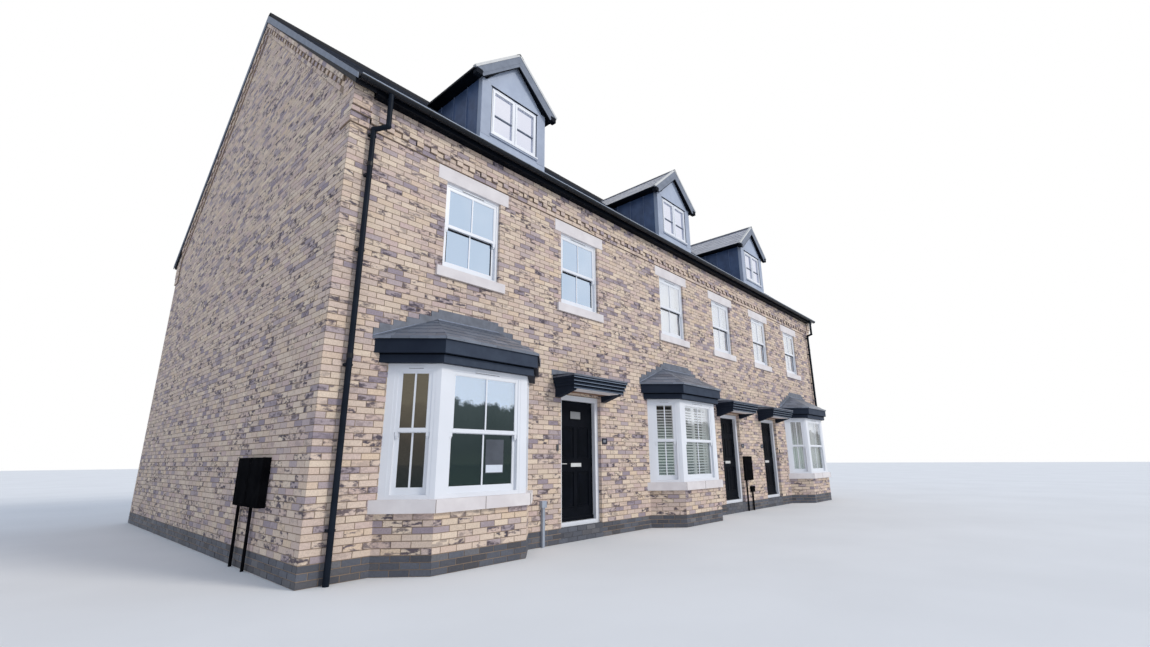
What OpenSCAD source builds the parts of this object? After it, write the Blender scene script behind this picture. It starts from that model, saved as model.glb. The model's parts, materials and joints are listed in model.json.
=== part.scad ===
// Row of three brick terraced houses with canted bay windows, canopied front doors
// and gabled roof dormers. Millimetres, +Z up, fronts facing -Y.
// The origin is at ground level under the middle of the row.

/* [Row] */
// Width of one house
house_w = 5600; // [5500:50:6400]
// Depth from the front wall face to the rear wall face
depth = 9400; // [8800:100:10400]
// Thickness of the outer brick walls
wall_t = 300; // [280:10:340]
// Thickness of the walls between the houses
party_t = 250; // [215:5:300]
// Height of one brick course with its joint
course = 75; // [72:1:76]

/* [Levels] */
// Courses in the blue brick plinth
plinth_courses = 3; // [2:1:4]
// Courses from the ground to the top of the ground storey wall
ground_courses = 38; // [37:1:40]
// Courses from the ground to the soffit at the eaves
head_courses = 79; // [79:1:82]
// Thickness of the upper floors
floor_t = 225; // [150:25:250]
// Height of the attic floor above the first floor
upper_storey_h = 2700; // [2600:50:2760]

/* [Windows] */
// Width of a sash window opening
window_w = 1022; // [900:2:1100]
// Height of a sash window opening
window_h = 1350; // [1200:25:1350]
// Courses from the ground to the bottom of the first floor openings
sill_courses = 52; // [50:1:52]
// Height of the stone sills
sill_h = 145; // [100:5:150]
// Stone sill beyond the opening at each side
sill_ear = 100; // [60:5:150]
// How far the stone sills stand out from the wall
sill_out = 45; // [30:5:70]
// Height of the stone lintels
lintel_h = 215; // [140:5:215]
// Bearing of a lintel at each side of its opening
lintel_ear = 150; // [100:5:200]
// How far the stone lintels stand out from the wall
lintel_out = 10; // [5:1:20]
// Depth of the window frames behind the wall face
frame_set = 40; // [40:5:90]
// Visible face of the box frame
frame_face = 48; // [35:1:60]
// Width of the sash stiles and top rails
stile_w = 46; // [35:1:60]
// Height of the bottom rail of the lower sash
bottom_rail = 75; // [60:5:100]
// Height of the meeting rail
meeting_rail = 42; // [30:2:60]
// Thickness of one sash
sash_d = 40; // [30:2:42]
// Depth of the upper sash behind the outer face of the frame
sash_set = 8; // [5:1:10]
// How far the two sashes are halved into each other
sash_lap = 4; // [2:1:5]
// Thickness of the sealed glass units
glass_t = 20; // [10:2:24]

/* [Doors] */
// Centre of the door from the bay side of its house
door_c = 4405; // [4380:5:4460]
// Width of the doorway in the wall
doorway_w = 1022; // [960:2:1040]
// Courses in the height of the doorway above the plinth
doorway_courses = 28; // [27:1:28]
// Depth of the door frame behind the wall face
door_set = 65; // [50:5:100]
// Width of the door frame beside the leaf
jamb_w = 60; // [50:1:65]
// Overlap of the outer stop in front of the leaf
stop_w = 25; // [15:1:30]
// Depth of the leaf behind the outer face of its frame
stop_t = 72; // [50:1:80]
// Height of the threshold bar
threshold_h = 65; // [50:5:80]
// Thickness of the door leaf
leaf_t = 44; // [40:1:50]
// Running gap round the leaf
leaf_gap = 6; // [5:0.5:9]
// Radius of the hinge knuckles
hinge_r = 8; // [7:0.5:9]
// Radius of the hinge pins
hinge_pin_r = 4; // [3:0.5:5]
// Length of one hinge knuckle
hinge_l = 45; // [30:5:60]
// Length of the upper knuckle that its pin leaves free
pin_short = 5; // [2:1:10]
// Width of a hinge plate
hinge_plate_w = 32; // [24:2:40]
// Thickness of a hinge plate
hinge_plate_t = 3; // [2:0.5:3.5]
// Clearance of the hinge pins in their knuckles
hinge_gap = 0.3; // [0.2:0.05:0.4]
// Distance of the upper end of the lowest hinge above the foot of the leaf
hinge_foot = 200; // [150:10:250]
// Distance of the upper end of the highest hinge below the head of the leaf
hinge_head = 250; // [180:10:280]
// Width of the stiles of the leaf
leaf_stile = 115; // [100:5:130]
// Width of the muntin between the panels
muntin_w = 100; // [80:5:120]
// Height of the top rail
top_rail_h = 140; // [110:5:150]
// Height of the frieze rail under the highest panels
frieze_rail_h = 120; // [100:5:140]
// Height of the highest panels
top_panel_h = 260; // [220:10:300]
// Height of the lock rail
lock_rail_h = 220; // [180:10:240]
// Height of the bottom rail
bottom_rail_h = 210; // [180:10:240]
// Width of the small light in the first door
light_w = 272; // [240:4:300]
// Height of the small light in the first door
light_h = 130; // [110:5:150]
// Distance of the small light below the head of the leaf
light_drop = 190; // [160:5:210]
// Depth of the sunk door panels
panel_sink = 6; // [3:1:10]
// Height of the letter plate and handles above the ground
letter_z = 1175; // [1000:25:1300]
// Width of the letter plate
letter_w = 260; // [240:5:300]
// Height of the letter plate
letter_h = 60; // [50:5:75]
// Thickness of the letter plate and the handle plate
furniture_t = 10; // [6:1:12]
// Distance of the lever handle from the edge of the leaf
handle_in = 62; // [55:1:75]
// How far the lever stands out from the leaf
handle_out = 45; // [38:1:55]
// Length of the lever
handle_l = 110; // [95:5:130]
// Radius of the neck of the lever
handle_r = 10; // [8:1:12]

/* [Bays] */
// Centre of the bay from the bay side of its house
bay_c = 1985; // [1960:5:2000]
// Width of the front face of the bay
bay_front_w = 1450; // [1300:10:1500]
// How far the brick base of the bay stands out
bay_out = 485; // [440:5:520]
// Thickness of the brick base of the bay
bay_wall_t = 215; // [150:5:215]
// Courses in the brick base of the bay
bay_base_courses = 9; // [8:1:10]
// Courses in the height of the bay sill
bay_sill_courses = 2; // [2:1:2]
// How far the bay sill stands out from the brick
bay_sill_out = 60; // [40:5:80]
// Height of the bay window frame
bay_frame_h = 1605; // [1500:5:1605]
// Thickness of the bay window frame
bay_frame_t = 85; // [82:1:100]
// Set-back of the bay frame from the brick face
bay_frame_set = 15; // [5:1:30]
// Width of the posts beside the front light of the bay
bay_post_w = 118; // [100:2:150]
// Width of the post of a side light at the front corner
bay_corner_post_w = 56; // [50:2:110]
// Width of the post of a side light at the wall
bay_wall_post_w = 90; // [88:2:120]
// Depth of the bay sashes behind the face of the posts
bay_light_set = 3; // [2:0.5:4]
// How far the bay sashes are let into the posts
bay_let_in = 5; // [3:1:8]
// Height of the fixed rail over the bay lights
bay_head_rail = 20; // [10:2:40]
// Width of the opening in the house wall behind the bay
bay_opening_w = 2100; // [1900:20:2120]
// Height of the lower fascia of the bay
bay_low_fascia_h = 113; // [90:1:120]
// Height of the upper fascia of the bay
bay_high_fascia_h = 172; // [140:2:180]
// How far the lower fascia stands out
bay_low_fascia_out = 75; // [50:5:90]
// How far the upper fascia stands out
bay_high_fascia_out = 130; // [110:5:140]
// How far the slates stand out
bay_roof_out = 150; // [145:5:180]
// Thickness of the bay roof edge
bay_roof_edge = 30; // [20:2:40]
// Rise of the bay roof
bay_roof_rise = 405; // [300:5:430]
// Height of the lead flashing above the bay roof
flashing_h = 150; // [100:10:160]
// Thickness of the lead flashing
flashing_t = 8; // [6:1:15]

/* [Canopies] */
// Width of a door canopy beyond the doorway at each side
canopy_side = 196; // [160:2:200]
// How far a canopy stands out
canopy_out = 480; // [400:5:520]
// Height of the underside of the canopy above the ground
canopy_z = 2372; // [2360:2:2400]
// Height of the canopy edge
canopy_h = 218; // [180:2:240]
// Number of steps in the canopy moulding
canopy_steps = 4; // [3:1:6]
// How far each moulding step stands out over the one below
canopy_step = 18; // [10:1:22]
// Extra height of the canopy top at the wall
canopy_fall = 30; // [10:5:50]
// Width of a canopy bracket
bracket_w = 120; // [90:5:140]
// Height of a canopy bracket below the canopy
bracket_h = 115; // [100:5:200]
// Height of the bracket nose behind the canopy edge
bracket_nose = 15; // [10:1:30]

/* [Eaves] */
// How far the string course stands out
string_out = 22; // [15:1:30]
// How far the eaves courses stand out above the dentils
eaves_out = 48; // [35:1:60]
// Spacing of the dentil bricks
dentil_pitch = 225; // [220:5:240]
// Width of a dentil brick
dentil_w = 102; // [90:1:112]
// Courses from the ground to the underside of the string course
string_courses = 73; // [73:1:73]
// Width of the corner kneelers seen from the front
kneeler_w = 235; // [200:5:260]
// How far each kneeler course stands out over the one below
kneeler_step = 25; // [15:1:26]
// How far the string course returns along the gable
return_w = 280; // [240:10:340]
// How far the fascia board stands out from the wall
fascia_out = 190; // [180:5:220]
// Thickness of the fascia board
fascia_t = 25; // [18:1:30]
// Thickness of the soffit board
soffit_t = 18; // [12:1:25]
// How far the fascia hangs below the soffit
fascia_drop = 15; // [5:1:25]
// Radius of the half-round gutter
gutter_r = 56; // [50:1:62]
// Wall thickness of the gutter
gutter_t = 4; // [3:1:5]
// Radius of a downpipe
pipe_r = 34; // [30:1:38]
// Distance of a downpipe centre from the wall
pipe_off = 70; // [60:2:80]
// Distance of a downpipe from the end of the row
pipe_x = 280; // [260:10:340]
// Height of the gutter over the soffit
gutter_rise = 90; // [80:1:95]
// Room between the ends of the gutter and the tiles that reach into it
tile_clear = 3; // [2:1:5]
// Sideways throw of the swan neck under the gutter
neck_throw = 110; // [80:5:160]
// Distance of the foot of the swan neck below the string course
neck_drop = 15; // [10:5:60]
// Rise of the sloping part of the swan neck
neck_rise = 20; // [10:5:60]
// Thickness of the pipe sockets
socket_t = 5; // [3:1:8]
// Height of a pipe clip
clip_h = 28; // [20:1:40]
// Width of a pipe clip beyond the pipe at each side
clip_ear = 12; // [8:1:20]

/* [Roof] */
// Roof pitch in degrees
pitch = 41; // [39:0.5:43]
// Height of the tile edge over the gutter above the soffit
tile_edge_z = 115; // [105:1:125]
// How far the tiles stand out from the wall
tile_out = 240; // [235:5:260]
// Thickness of the tiles at the eaves edge
tile_t = 38; // [30:1:45]
// Thickness of the roof with its timbers
roof_t = 130; // [120:5:150]
// Bedding gap between the wall heads and the roof
bed = 0.2; // [0.1:0.05:0.5]
// How far the roof stands out over the gables
verge_out = 60; // [50:1:70]
// Thickness of the verge trim
verge_t = 14; // [8:1:20]
// Outer radius of the ridge tiles
ridge_r = 125; // [110:5:140]
// Thickness of the ridge tiles
ridge_t = 18; // [12:1:22]

/* [Dormers] */
// Centre of the dormer from the bay side of its house
dormer_c = 3170; // [3000:10:3300]
// Width of the dormer face
dormer_w = 1570; // [1480:10:1640]
// Distance of the dormer face behind the wall face
dormer_set = 500; // [440:10:540]
// Thickness of the dormer walls
dormer_t = 100; // [80:5:120]
// Height of the dormer eaves above the soffit level
dormer_eaves_z = 2010; // [1960:10:2060]
// Half width of the dormer roof
dormer_half_w = 1010; // [960:10:1060]
// How far the dormer roof stands out in front of its face
dormer_out = 80; // [60:5:120]
// Depth of the dormer eaves edge
dormer_edge = 35; // [20:5:50]
// Height of the dormer roof at its ridge
dormer_roof_h = 130; // [100:5:160]
// Width of the dormer window opening
dormer_win_w = 1100; // [1000:10:1140]
// Height of the dormer window opening
dormer_win_h = 950; // [850:10:980]
// Height of the dormer eaves above the window head
dormer_head = 95; // [80:5:120]
// Width of the dormer window frame members
dormer_bar = 60; // [45:5:75]
// Depth of the dormer window frame
dormer_frame_d = 70; // [60:5:80]
// Set-back of the dormer window frame
dormer_frame_set = 10; // [5:1:20]
// Depth of the bargeboards
barge_h = 150; // [110:5:180]
// Thickness of the bargeboards
barge_t = 25; // [18:1:35]

/* [Fittings] */
// Width of a meter box
meter_w = 460; // [400:10:470]
// Height of a meter box
meter_h = 585; // [500:5:620]
// Height of the bottom of a meter box above the ground
meter_z = 730; // [650:10:800]
// How far a meter box stands out
meter_out = 90; // [60:5:120]
// Radius of the ducts below the meter boxes
duct_r = 19; // [15:1:25]
// Distance of a duct from the left side of its box
duct_x = 90; // [60:5:120]
// Distance of the first gable meter box from the front corner
gable_meter_y = 1130; // [1000:10:1200]
// Gap between the two gable meter boxes
meter_gap = 15; // [5:1:40]
// How far the front meter box stands out
front_meter_out = 42; // [38:1:60]
// Distance of the front meter box from the second doorway
front_meter_gap = 30; // [20:5:80]
// Width of the low service box
service_w = 180; // [150:5:220]
// Height of the low service box
service_h = 140; // [100:5:180]
// How far the low service box stands out
service_out = 60; // [40:5:80]
// Height of the bottom of the low service box above the ground
service_z = 440; // [400:5:500]
// Distance of a door bell or a number plate from the doorway
bell_gap = 90; // [60:5:120]
// Width of a door bell
bell_w = 40; // [30:1:50]
// Height of a door bell
bell_h = 100; // [70:5:120]
// Height of the bottom of a door bell above the ground
bell_z = 1400; // [1300:10:1500]
// Size of a square number plate
plate_w = 70; // [50:5:100]
// Height of the bottom of a number plate above the ground
plate_z = 1540; // [1400:10:1600]
// Thickness of a number plate
plate_t = 10; // [5:1:15]
// Distance of the service duct from the first doorway
riser_gap = 420; // [380:5:460]
// Width of the service duct
riser_w = 44; // [30:2:60]
// Height of the service duct
riser_h = 560; // [480:10:640]
// Width and height of the cover on the service duct
riser_box = 95; // [70:5:120]

/* [Hidden] */

// Which way round each house is: 1 has its bay on the left, -1 on the right
HAND = [1, 1, -1];
HOUSES = [0, 1, 2];
row_w = len(HAND) * house_w;
x_left = -row_w / 2;
x_right = row_w / 2;
y_front = -depth / 2;
y_rear = depth / 2;
far = 3 * depth;

plinth_z = plinth_courses * course;
ground_z = ground_courses * course;
head_z = head_courses * course;
attic_z = ground_z + upper_storey_h;
sill_z = sill_courses * course;
doorway_z = plinth_z + doorway_courses * course;
string_z = string_courses * course;
bay_sill_z = bay_base_courses * course;
bay_frame_z = bay_sill_z + bay_sill_courses * course;
bay_head_z = bay_frame_z + bay_frame_h;
bay_roof_z = bay_head_z + bay_low_fascia_h + bay_high_fascia_h;
canopy_w = doorway_w + 2 * canopy_side;

// Place along the row of a point that lies u from the bay side of house i
function at(i, u) = x_left + i * house_w + (HAND[i] > 0 ? u : house_w - u);
function gap(i, u, w, z) = [at(i, u) - w / 2, at(i, u) + w / 2, z];
function bay_gap(i) = gap(i, bay_c, bay_opening_w, bay_head_z);
function door_gap(i) = gap(i, door_c, doorway_w, doorway_z);
// Openings of the ground storey from left to right, each as left, right and head
OPENINGS = [for (i = HOUSES) each HAND[i] > 0
    ? [bay_gap(i), door_gap(i)] : [door_gap(i), bay_gap(i)]];
WINDOW_PLACES = [for (i = HOUSES) each [at(i, bay_c), at(i, door_c)]];
DOOR_PLACES = [for (i = HOUSES) at(i, door_c)];
BAY_PLACES = [for (i = HOUSES) at(i, bay_c)];
DORMER_PLACES = [for (i = HOUSES) at(i, dormer_c)];

// Roof planes: height of the tiles and of the underside at a distance y from the middle
tile_y = depth / 2 + tile_out;
tile_z = head_z + tile_edge_z;
rise = tan(pitch);
tile_v = tile_t / cos(pitch);
roof_v = roof_t / cos(pitch);
function top_z(y) = tile_z + (tile_y - abs(y)) * rise;
function under_z(y) = top_z(y) - roof_v;
function wall_top(y) = under_z(y) - bed;
function under_y(z) = tile_y - (z + roof_v - tile_z) / rise;
function top_y(z) = tile_y - (z - tile_z) / rise;
ridge_z = top_z(0);

// Dormers, and the holes that they cover in the front roof
dormer_y = y_front + dormer_set;
dormer_z = head_z + dormer_eaves_z;
dormer_ridge_z = dormer_z + dormer_edge + dormer_half_w * rise;
dormer_sill_z = dormer_z - dormer_head - dormer_win_h;
hole_low = dormer_y + dormer_t;
hole_high = -top_y(dormer_z);

module box(lo, hi) {
    translate(lo) cube(hi - lo);
}

// Extrude an outline drawn in X and Z along Y, from y to y + t
module along_y(y, t) {
    translate([0, y + t, 0]) rotate([90, 0, 0]) linear_extrude(t) children();
}

// Extrude an outline drawn in Y and Z along X, from x to x + t
module along_x(x, t) {
    translate([x, 0, 0]) rotate([90, 0, 90]) linear_extrude(t) children();
}

module rect(lo, hi) {
    translate(lo) square(hi - lo);
}

// Turn the rear half round so that it repeats the front half
module front_and_rear() {
    children();
    mirror([0, 1, 0]) children();
}

module left_and_right() {
    children();
    mirror([1, 0, 0]) children();
}

// Gables and party walls

module cross_outline() {
    polygon([[y_front, 0], [y_rear, 0], [y_rear, wall_top(y_rear)], [0, wall_top(0)],
        [y_front, wall_top(y_front)]]);
}

module gable_wall_left() {
    color("tan") along_x(x_left, wall_t) cross_outline();
}

module gable_wall_right() {
    color("tan") along_x(x_right - wall_t, wall_t) cross_outline();
}

module party_outline() {
    y_in = depth / 2 - wall_t;
    polygon([[-y_in, 0], [y_in, 0], [y_in, wall_top(y_in)], [0, wall_top(0)],
        [-y_in, wall_top(y_in)]]);
}

module party_walls() {
    color("gray")
        for (i = [1 : len(HAND) - 1])
            along_x(x_left + i * house_w - party_t / 2, party_t) party_outline();
}

// Front and rear walls

module front_piers() {
    n = len(OPENINGS);
    color("tan")
        for (k = [0 : n])
            box([k == 0 ? x_left + wall_t : OPENINGS[k - 1][1], y_front, 0],
                [k == n ? x_right - wall_t : OPENINGS[k][0], y_front + wall_t, ground_z]);
}

module front_wall_over_openings() {
    color("tan")
        for (o = OPENINGS)
            box([o[0], y_front, o[2]], [o[1], y_front + wall_t, ground_z]);
}

module doorstep_walls() {
    color("slategray")
        for (x = DOOR_PLACES)
            box([x - doorway_w / 2, y_front, 0],
                [x + doorway_w / 2, y_front + wall_t, plinth_z]);
}

// Window opening with the seats of its sill and lintel
module window_hole(x, z) {
    rect([x - window_w / 2, z], [x + window_w / 2, z + window_h]);
    rect([x - window_w / 2 - sill_ear, z - sill_h], [x + window_w / 2 + sill_ear, z]);
    lintel_outline(x, z + window_h, window_w);
}

module lintel_outline(x, z, w) {
    rect([x - w / 2 - lintel_ear, z], [x + w / 2 + lintel_ear, z + lintel_h]);
}

module upper_wall_outline() {
    difference() {
        rect([x_left + wall_t, ground_z], [x_right - wall_t, head_z]);
        for (x = WINDOW_PLACES)
            window_hole(x, sill_z);
    }
}

module front_wall_upper() {
    color("tan") along_y(y_front, wall_t) upper_wall_outline();
}

module rear_wall_upper() {
    color("tan") along_y(y_rear - wall_t, wall_t) upper_wall_outline();
}

rear_sill_z = doorway_z - window_h;

module rear_wall_ground() {
    color("tan")
        along_y(y_rear - wall_t, wall_t)
            difference() {
                rect([x_left + wall_t, 0], [x_right - wall_t, ground_z]);
                for (x = BAY_PLACES)
                    window_hole(x, rear_sill_z);
                for (x = DOOR_PLACES) {
                    rect([x - doorway_w / 2, plinth_z], [x + doorway_w / 2, doorway_z]);
                    lintel_outline(x, doorway_z, doorway_w);
                }
            }
}

// Timber plates and packing between the wall heads and the sloping roof
module wall_plates() {
    y_in = y_front + wall_t;
    color("burlywood")
        front_and_rear()
            along_x(x_left + wall_t, row_w - 2 * wall_t)
                polygon([[y_front, head_z], [y_in, head_z], [y_in, wall_top(y_in)],
                    [y_front, wall_top(y_front)]]);
}

// Floors

module floor_slab(i, z, t) {
    x0 = i == 0 ? x_left + wall_t : x_left + i * house_w + party_t / 2;
    x1 = i == len(HAND) - 1 ? x_right - wall_t : x_left + (i + 1) * house_w - party_t / 2;
    box([x0, y_front + wall_t, z], [x1, y_rear - wall_t, z + t]);
}

module ground_floor() {
    color("lightgray")
        for (i = HOUSES) {
            floor_slab(i, 0, plinth_z);
            box([bay_gap(i)[0], y_front, 0], [bay_gap(i)[1], y_front + wall_t, plinth_z]);
            bay_plate(i, -bay_wall_t, 0, plinth_z);
        }
}

module first_floor() {
    color("burlywood")
        for (i = HOUSES)
            floor_slab(i, ground_z - floor_t, floor_t);
}

module attic_floor() {
    color("burlywood")
        for (i = HOUSES)
            floor_slab(i, attic_z - floor_t, floor_t);
}

// Canted bays

// Plan of a bay whose three faces stand out by o from the brick base
module bay_outline(o) {
    half = bay_front_w / 2;
    polygon([[-half - bay_out - o * sqrt(2), 0], [-half - o * tan(22.5), -bay_out - o],
        [half + o * tan(22.5), -bay_out - o], [half + bay_out + o * sqrt(2), 0]]);
}

module bay_plate(i, o, z, h) {
    translate([at(i, bay_c), y_front, z]) linear_extrude(h) bay_outline(o);
}

module bay_ring(i, o, t, z, h) {
    translate([at(i, bay_c), y_front, z])
        linear_extrude(h)
            difference() {
                bay_outline(o);
                bay_outline(o - t);
            }
}

module bay_base_walls() {
    color("tan")
        for (i = HOUSES)
            bay_ring(i, 0, bay_wall_t, 0, bay_sill_z);
}

module bay_sills() {
    color("linen")
        for (i = HOUSES)
            bay_ring(i, bay_sill_out, bay_sill_out + bay_wall_t, bay_sill_z,
                bay_frame_z - bay_sill_z);
}

bay_face = bay_out - bay_frame_set;
bay_half = bay_front_w / 2 - bay_frame_set * tan(22.5);
bay_side_len = bay_face * sqrt(2);

// Place children at the outer face of the front and of the two side lights
module on_bay_faces() {
    translate([0, -bay_face, 0]) children(0);
    for (s = [-1, 1])
        translate([s * (bay_half + bay_face / 2), -bay_face / 2, 0])
            rotate([0, 0, s * 45])
                translate([s * (bay_corner_post_w - bay_wall_post_w) / 2, 0, 0])
                    children(1);
}

bay_light_w = 2 * bay_half - 2 * bay_post_w;
bay_side_light_w = bay_side_len - bay_corner_post_w - bay_wall_post_w;
bay_light_h = bay_frame_h - bay_head_rail;

module bay_frames() {
    color("white")
        for (i = HOUSES) {
            translate([at(i, bay_c), y_front, bay_frame_z]) {
                difference() {
                    linear_extrude(bay_frame_h)
                        difference() {
                            bay_outline(-bay_frame_set);
                            bay_outline(-bay_frame_set - bay_frame_t);
                        }
                    on_bay_faces() {
                        bay_light_cut(bay_light_w);
                        bay_light_cut(bay_side_light_w);
                    }
                }
                on_bay_faces() {
                    bay_set_in() sashes(bay_light_w, bay_light_h, 0);
                    bay_set_in() sashes(bay_side_light_w, bay_light_h, 0);
                }
            }
        }
}

// The sashes are let into the posts and the head rail all round
module bay_light_cut(w) {
    half = w / 2 - bay_let_in;
    box([-half, -bay_frame_t, -1], [half, 2 * bay_frame_t, bay_light_h - bay_let_in]);
}

module bay_set_in() {
    translate([0, bay_light_set, 0]) children();
}

module bay_glass() {
    color("lightcyan")
        for (i = HOUSES)
            translate([at(i, bay_c), y_front, bay_frame_z])
                on_bay_faces() {
                    bay_set_in() panes(bay_light_w, bay_light_h, 0);
                    bay_set_in() panes(bay_side_light_w, bay_light_h, 0);
                }
}

module bay_fascias() {
    color("darkslategray")
        for (i = HOUSES) {
            bay_plate(i, bay_low_fascia_out, bay_head_z, bay_low_fascia_h);
            bay_plate(i, bay_high_fascia_out, bay_head_z + bay_low_fascia_h,
                bay_high_fascia_h);
        }
}

bay_run = bay_out + bay_roof_out;
// Half length of the top edge of the bay roof, where its hips meet the wall
bay_top_half = bay_front_w / 2 + bay_out - bay_out * sqrt(2);

// Everything under one plane of the bay roof
module bay_slope() {
    slope = (bay_roof_rise - bay_roof_edge) / bay_run;
    back = 4 * bay_run;
    along_x(-2 * bay_run, 4 * bay_run)
        polygon([[-bay_run, 0], [back, 0], [back, bay_roof_rise + back * slope],
            [-bay_run, bay_roof_edge]]);
}

module bay_roofs() {
    color("dimgray")
        for (x = BAY_PLACES)
            translate([x, y_front, bay_roof_z])
                intersection() {
                    bay_slope();
                    for_each_side() bay_slope();
                    box([-2 * bay_run, -2 * bay_run, 0],
                        [2 * bay_run, 0, bay_roof_rise]);
                }
}

module for_each_side() {
    intersection() {
        translate([-bay_top_half, 0, 0]) rotate([0, 0, -45]) children();
        translate([bay_top_half, 0, 0]) rotate([0, 0, 45]) children();
    }
}

// Lead upstand that follows the three roof planes up the wall
module bay_flashings() {
    foot = bay_run * sqrt(2) + bay_top_half;
    line = [[-foot, bay_roof_edge], [-bay_top_half, bay_roof_rise],
        [bay_top_half, bay_roof_rise], [foot, bay_roof_edge]];
    color("slategray")
        for (x = BAY_PLACES)
            translate([x, 0, bay_roof_z])
                along_y(y_front - flashing_t, flashing_t)
                    polygon([line[0], line[1], line[2], line[3],
                        line[3] + [0, flashing_h], line[2] + [0, flashing_h],
                        line[1] + [0, flashing_h], line[0] + [0, flashing_h]]);
}

// Canopies

module canopies() {
    step_h = canopy_h / canopy_steps;
    color("darkslategray")
        for (x = DOOR_PLACES)
            translate([x, y_front, canopy_z]) {
                for (k = [0 : canopy_steps - 1]) {
                    back = canopy_step * (canopy_steps - 1 - k);
                    box([-canopy_w / 2 + back, back - canopy_out, k * step_h],
                        [canopy_w / 2 - back, 0, (k + 1) * step_h]);
                }
                along_x(-canopy_w / 2, canopy_w)
                    polygon([[-canopy_out, canopy_h], [0, canopy_h],
                        [0, canopy_h + canopy_fall]]);
            }
}

module canopy_brackets() {
    inset = canopy_step * (canopy_steps - 1);
    top = canopy_out - 2 * inset;
    color("darkslategray")
        for (x = DOOR_PLACES, s = [-1, 1])
            translate([x + s * (canopy_w / 2 - inset - bracket_w / 2), y_front, canopy_z])
                along_x(-bracket_w / 2, bracket_w)
                    polygon([[0, 0], [-top, 0], [-top, -bracket_nose],
                        [-2 * bracket_nose, -bracket_h], [0, -bracket_h]]);
}

// Doors

// Front to back size of the door frame, as deep as the closed leaf
door_frame_d = stop_t + leaf_gap + leaf_t;

// One white frame with its outer stop, drawn at the frame's outer face
module door_frame() {
    half = doorway_w / 2;
    top = doorway_z;
    difference() {
        box([-half, 0, plinth_z], [half, door_frame_d, top]);
        box([-half + jamb_w, stop_t, plinth_z + threshold_h],
            [half - jamb_w, door_frame_d + 1, top - jamb_w]);
        box([-half + jamb_w + stop_w, -1, plinth_z + threshold_h],
            [half - jamb_w - stop_w, door_frame_d, top - jamb_w - stop_w]);
    }
}

module door_frames() {
    color("white")
        for (x = DOOR_PLACES)
            translate([x, y_front + door_set, 0]) door_frame();
}

leaf_half = doorway_w / 2 - jamb_w - leaf_gap;
leaf_low = plinth_z + threshold_h + leaf_gap;
leaf_high = doorway_z - jamb_w - leaf_gap;
leaf_y = y_front + door_set + stop_t + leaf_gap;
panel_w = leaf_half - leaf_stile - muntin_w / 2;
panel_x = (muntin_w + panel_w) / 2;
top_rail = leaf_high - top_rail_h;
light_z = leaf_high - light_drop;
LOW_PANELS = [leaf_low + bottom_rail_h, letter_z - lock_rail_h / 2];

// Sunk panels in pairs between the heights of each of tops
module leaf_panels(tops) {
    for (s = [-1, 1], p = tops)
        translate([s * panel_x - panel_w / 2, -1, p[0]])
            cube([panel_w, panel_sink + 1, p[1] - p[0]]);
}

module leaf(i, tops) {
    color("black")
        translate([DOOR_PLACES[i], leaf_y, 0]) {
            difference() {
                box([-leaf_half, 0, leaf_low], [leaf_half, leaf_t, leaf_high]);
                leaf_panels(tops);
            }
            for (z = HINGES)
                translate([hinge_x, hinge_y, z + hinge_gap / 2])
                    difference() {
                        knuckle(-1);
                        translate([0, 0, -1])
                            cylinder(h = hinge_l + 2, r = hinge_pin_r + hinge_gap, $fn = 32);
                    }
        }
}

// Hinge axis in the middle of the running gap, just inside the inner face of the leaf,
// measured from the middle of the doorway and the outer face of the leaf
hinge_x = leaf_half + leaf_gap / 2;
hinge_y = leaf_t + hinge_r + 1;
HINGES = [leaf_low + hinge_foot, (leaf_low + leaf_high) / 2, leaf_high - hinge_head];

// Knuckle with its plate, which lies towards side s
module knuckle(s) {
    cylinder(h = hinge_l, r = hinge_r, $fn = 32);
    box([min(0, s * hinge_plate_w), leaf_t - hinge_y, 0],
        [max(0, s * hinge_plate_w), leaf_t - hinge_y + hinge_plate_t, hinge_l]);
}

// The frame side of the door hinges, with the pins
module door_hinges() {
    color("silver")
        for (x = DOOR_PLACES, z = HINGES)
            translate([x + hinge_x, leaf_y + hinge_y, z - hinge_l - hinge_gap / 2]) {
                knuckle(1);
                cylinder(h = 2 * hinge_l - pin_short, r = hinge_pin_r, $fn = 32);
            }
}

module light_cut(i) {
    translate([DOOR_PLACES[i], leaf_y, 0])
        box([-light_w / 2, -1, light_z - light_h], [light_w / 2, panel_sink, light_z]);
}

module door_1() {
    color("black")
        difference() {
            leaf(0, [LOW_PANELS, [letter_z + lock_rail_h / 2, light_z - light_h - top_rail_h]]);
            light_cut(0);
        }
}

// Leaf with three pairs of panels
module georgian_leaf(i) {
    leaf(i, [LOW_PANELS,
        [letter_z + lock_rail_h / 2, top_rail - top_panel_h - frieze_rail_h],
        [top_rail - top_panel_h, top_rail]]);
}

module door_2() {
    georgian_leaf(1);
}

module door_3() {
    georgian_leaf(2);
}

// Letter plate and lever handle on the outer face of a leaf
module furniture(i) {
    handle_x = -leaf_half + handle_in;
    grip_z = letter_z + letter_h / 2 - handle_r;
    color("silver")
        translate([DOOR_PLACES[i], leaf_y, 0]) {
            box([-letter_w / 2, -furniture_t, letter_z - letter_h / 2],
                [letter_w / 2, 0, letter_z + letter_h / 2]);
            box([handle_x - 2 * handle_r, -furniture_t, letter_z - lock_rail_h / 2],
                [handle_x + 2 * handle_r, 0, letter_z + lock_rail_h / 2]);
            translate([handle_x, 0, grip_z])
                rotate([90, 0, 0])
                    cylinder(h = handle_out, r = handle_r, $fn = 24);
            translate([handle_x, -handle_out, grip_z])
                rotate([0, 90, 0])
                    cylinder(h = handle_l, r = handle_r - 1, $fn = 24);
        }
}

module door_1_furniture() {
    furniture(0);
}

module door_2_furniture() {
    furniture(1);
}

module door_3_furniture() {
    furniture(2);
}

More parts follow.
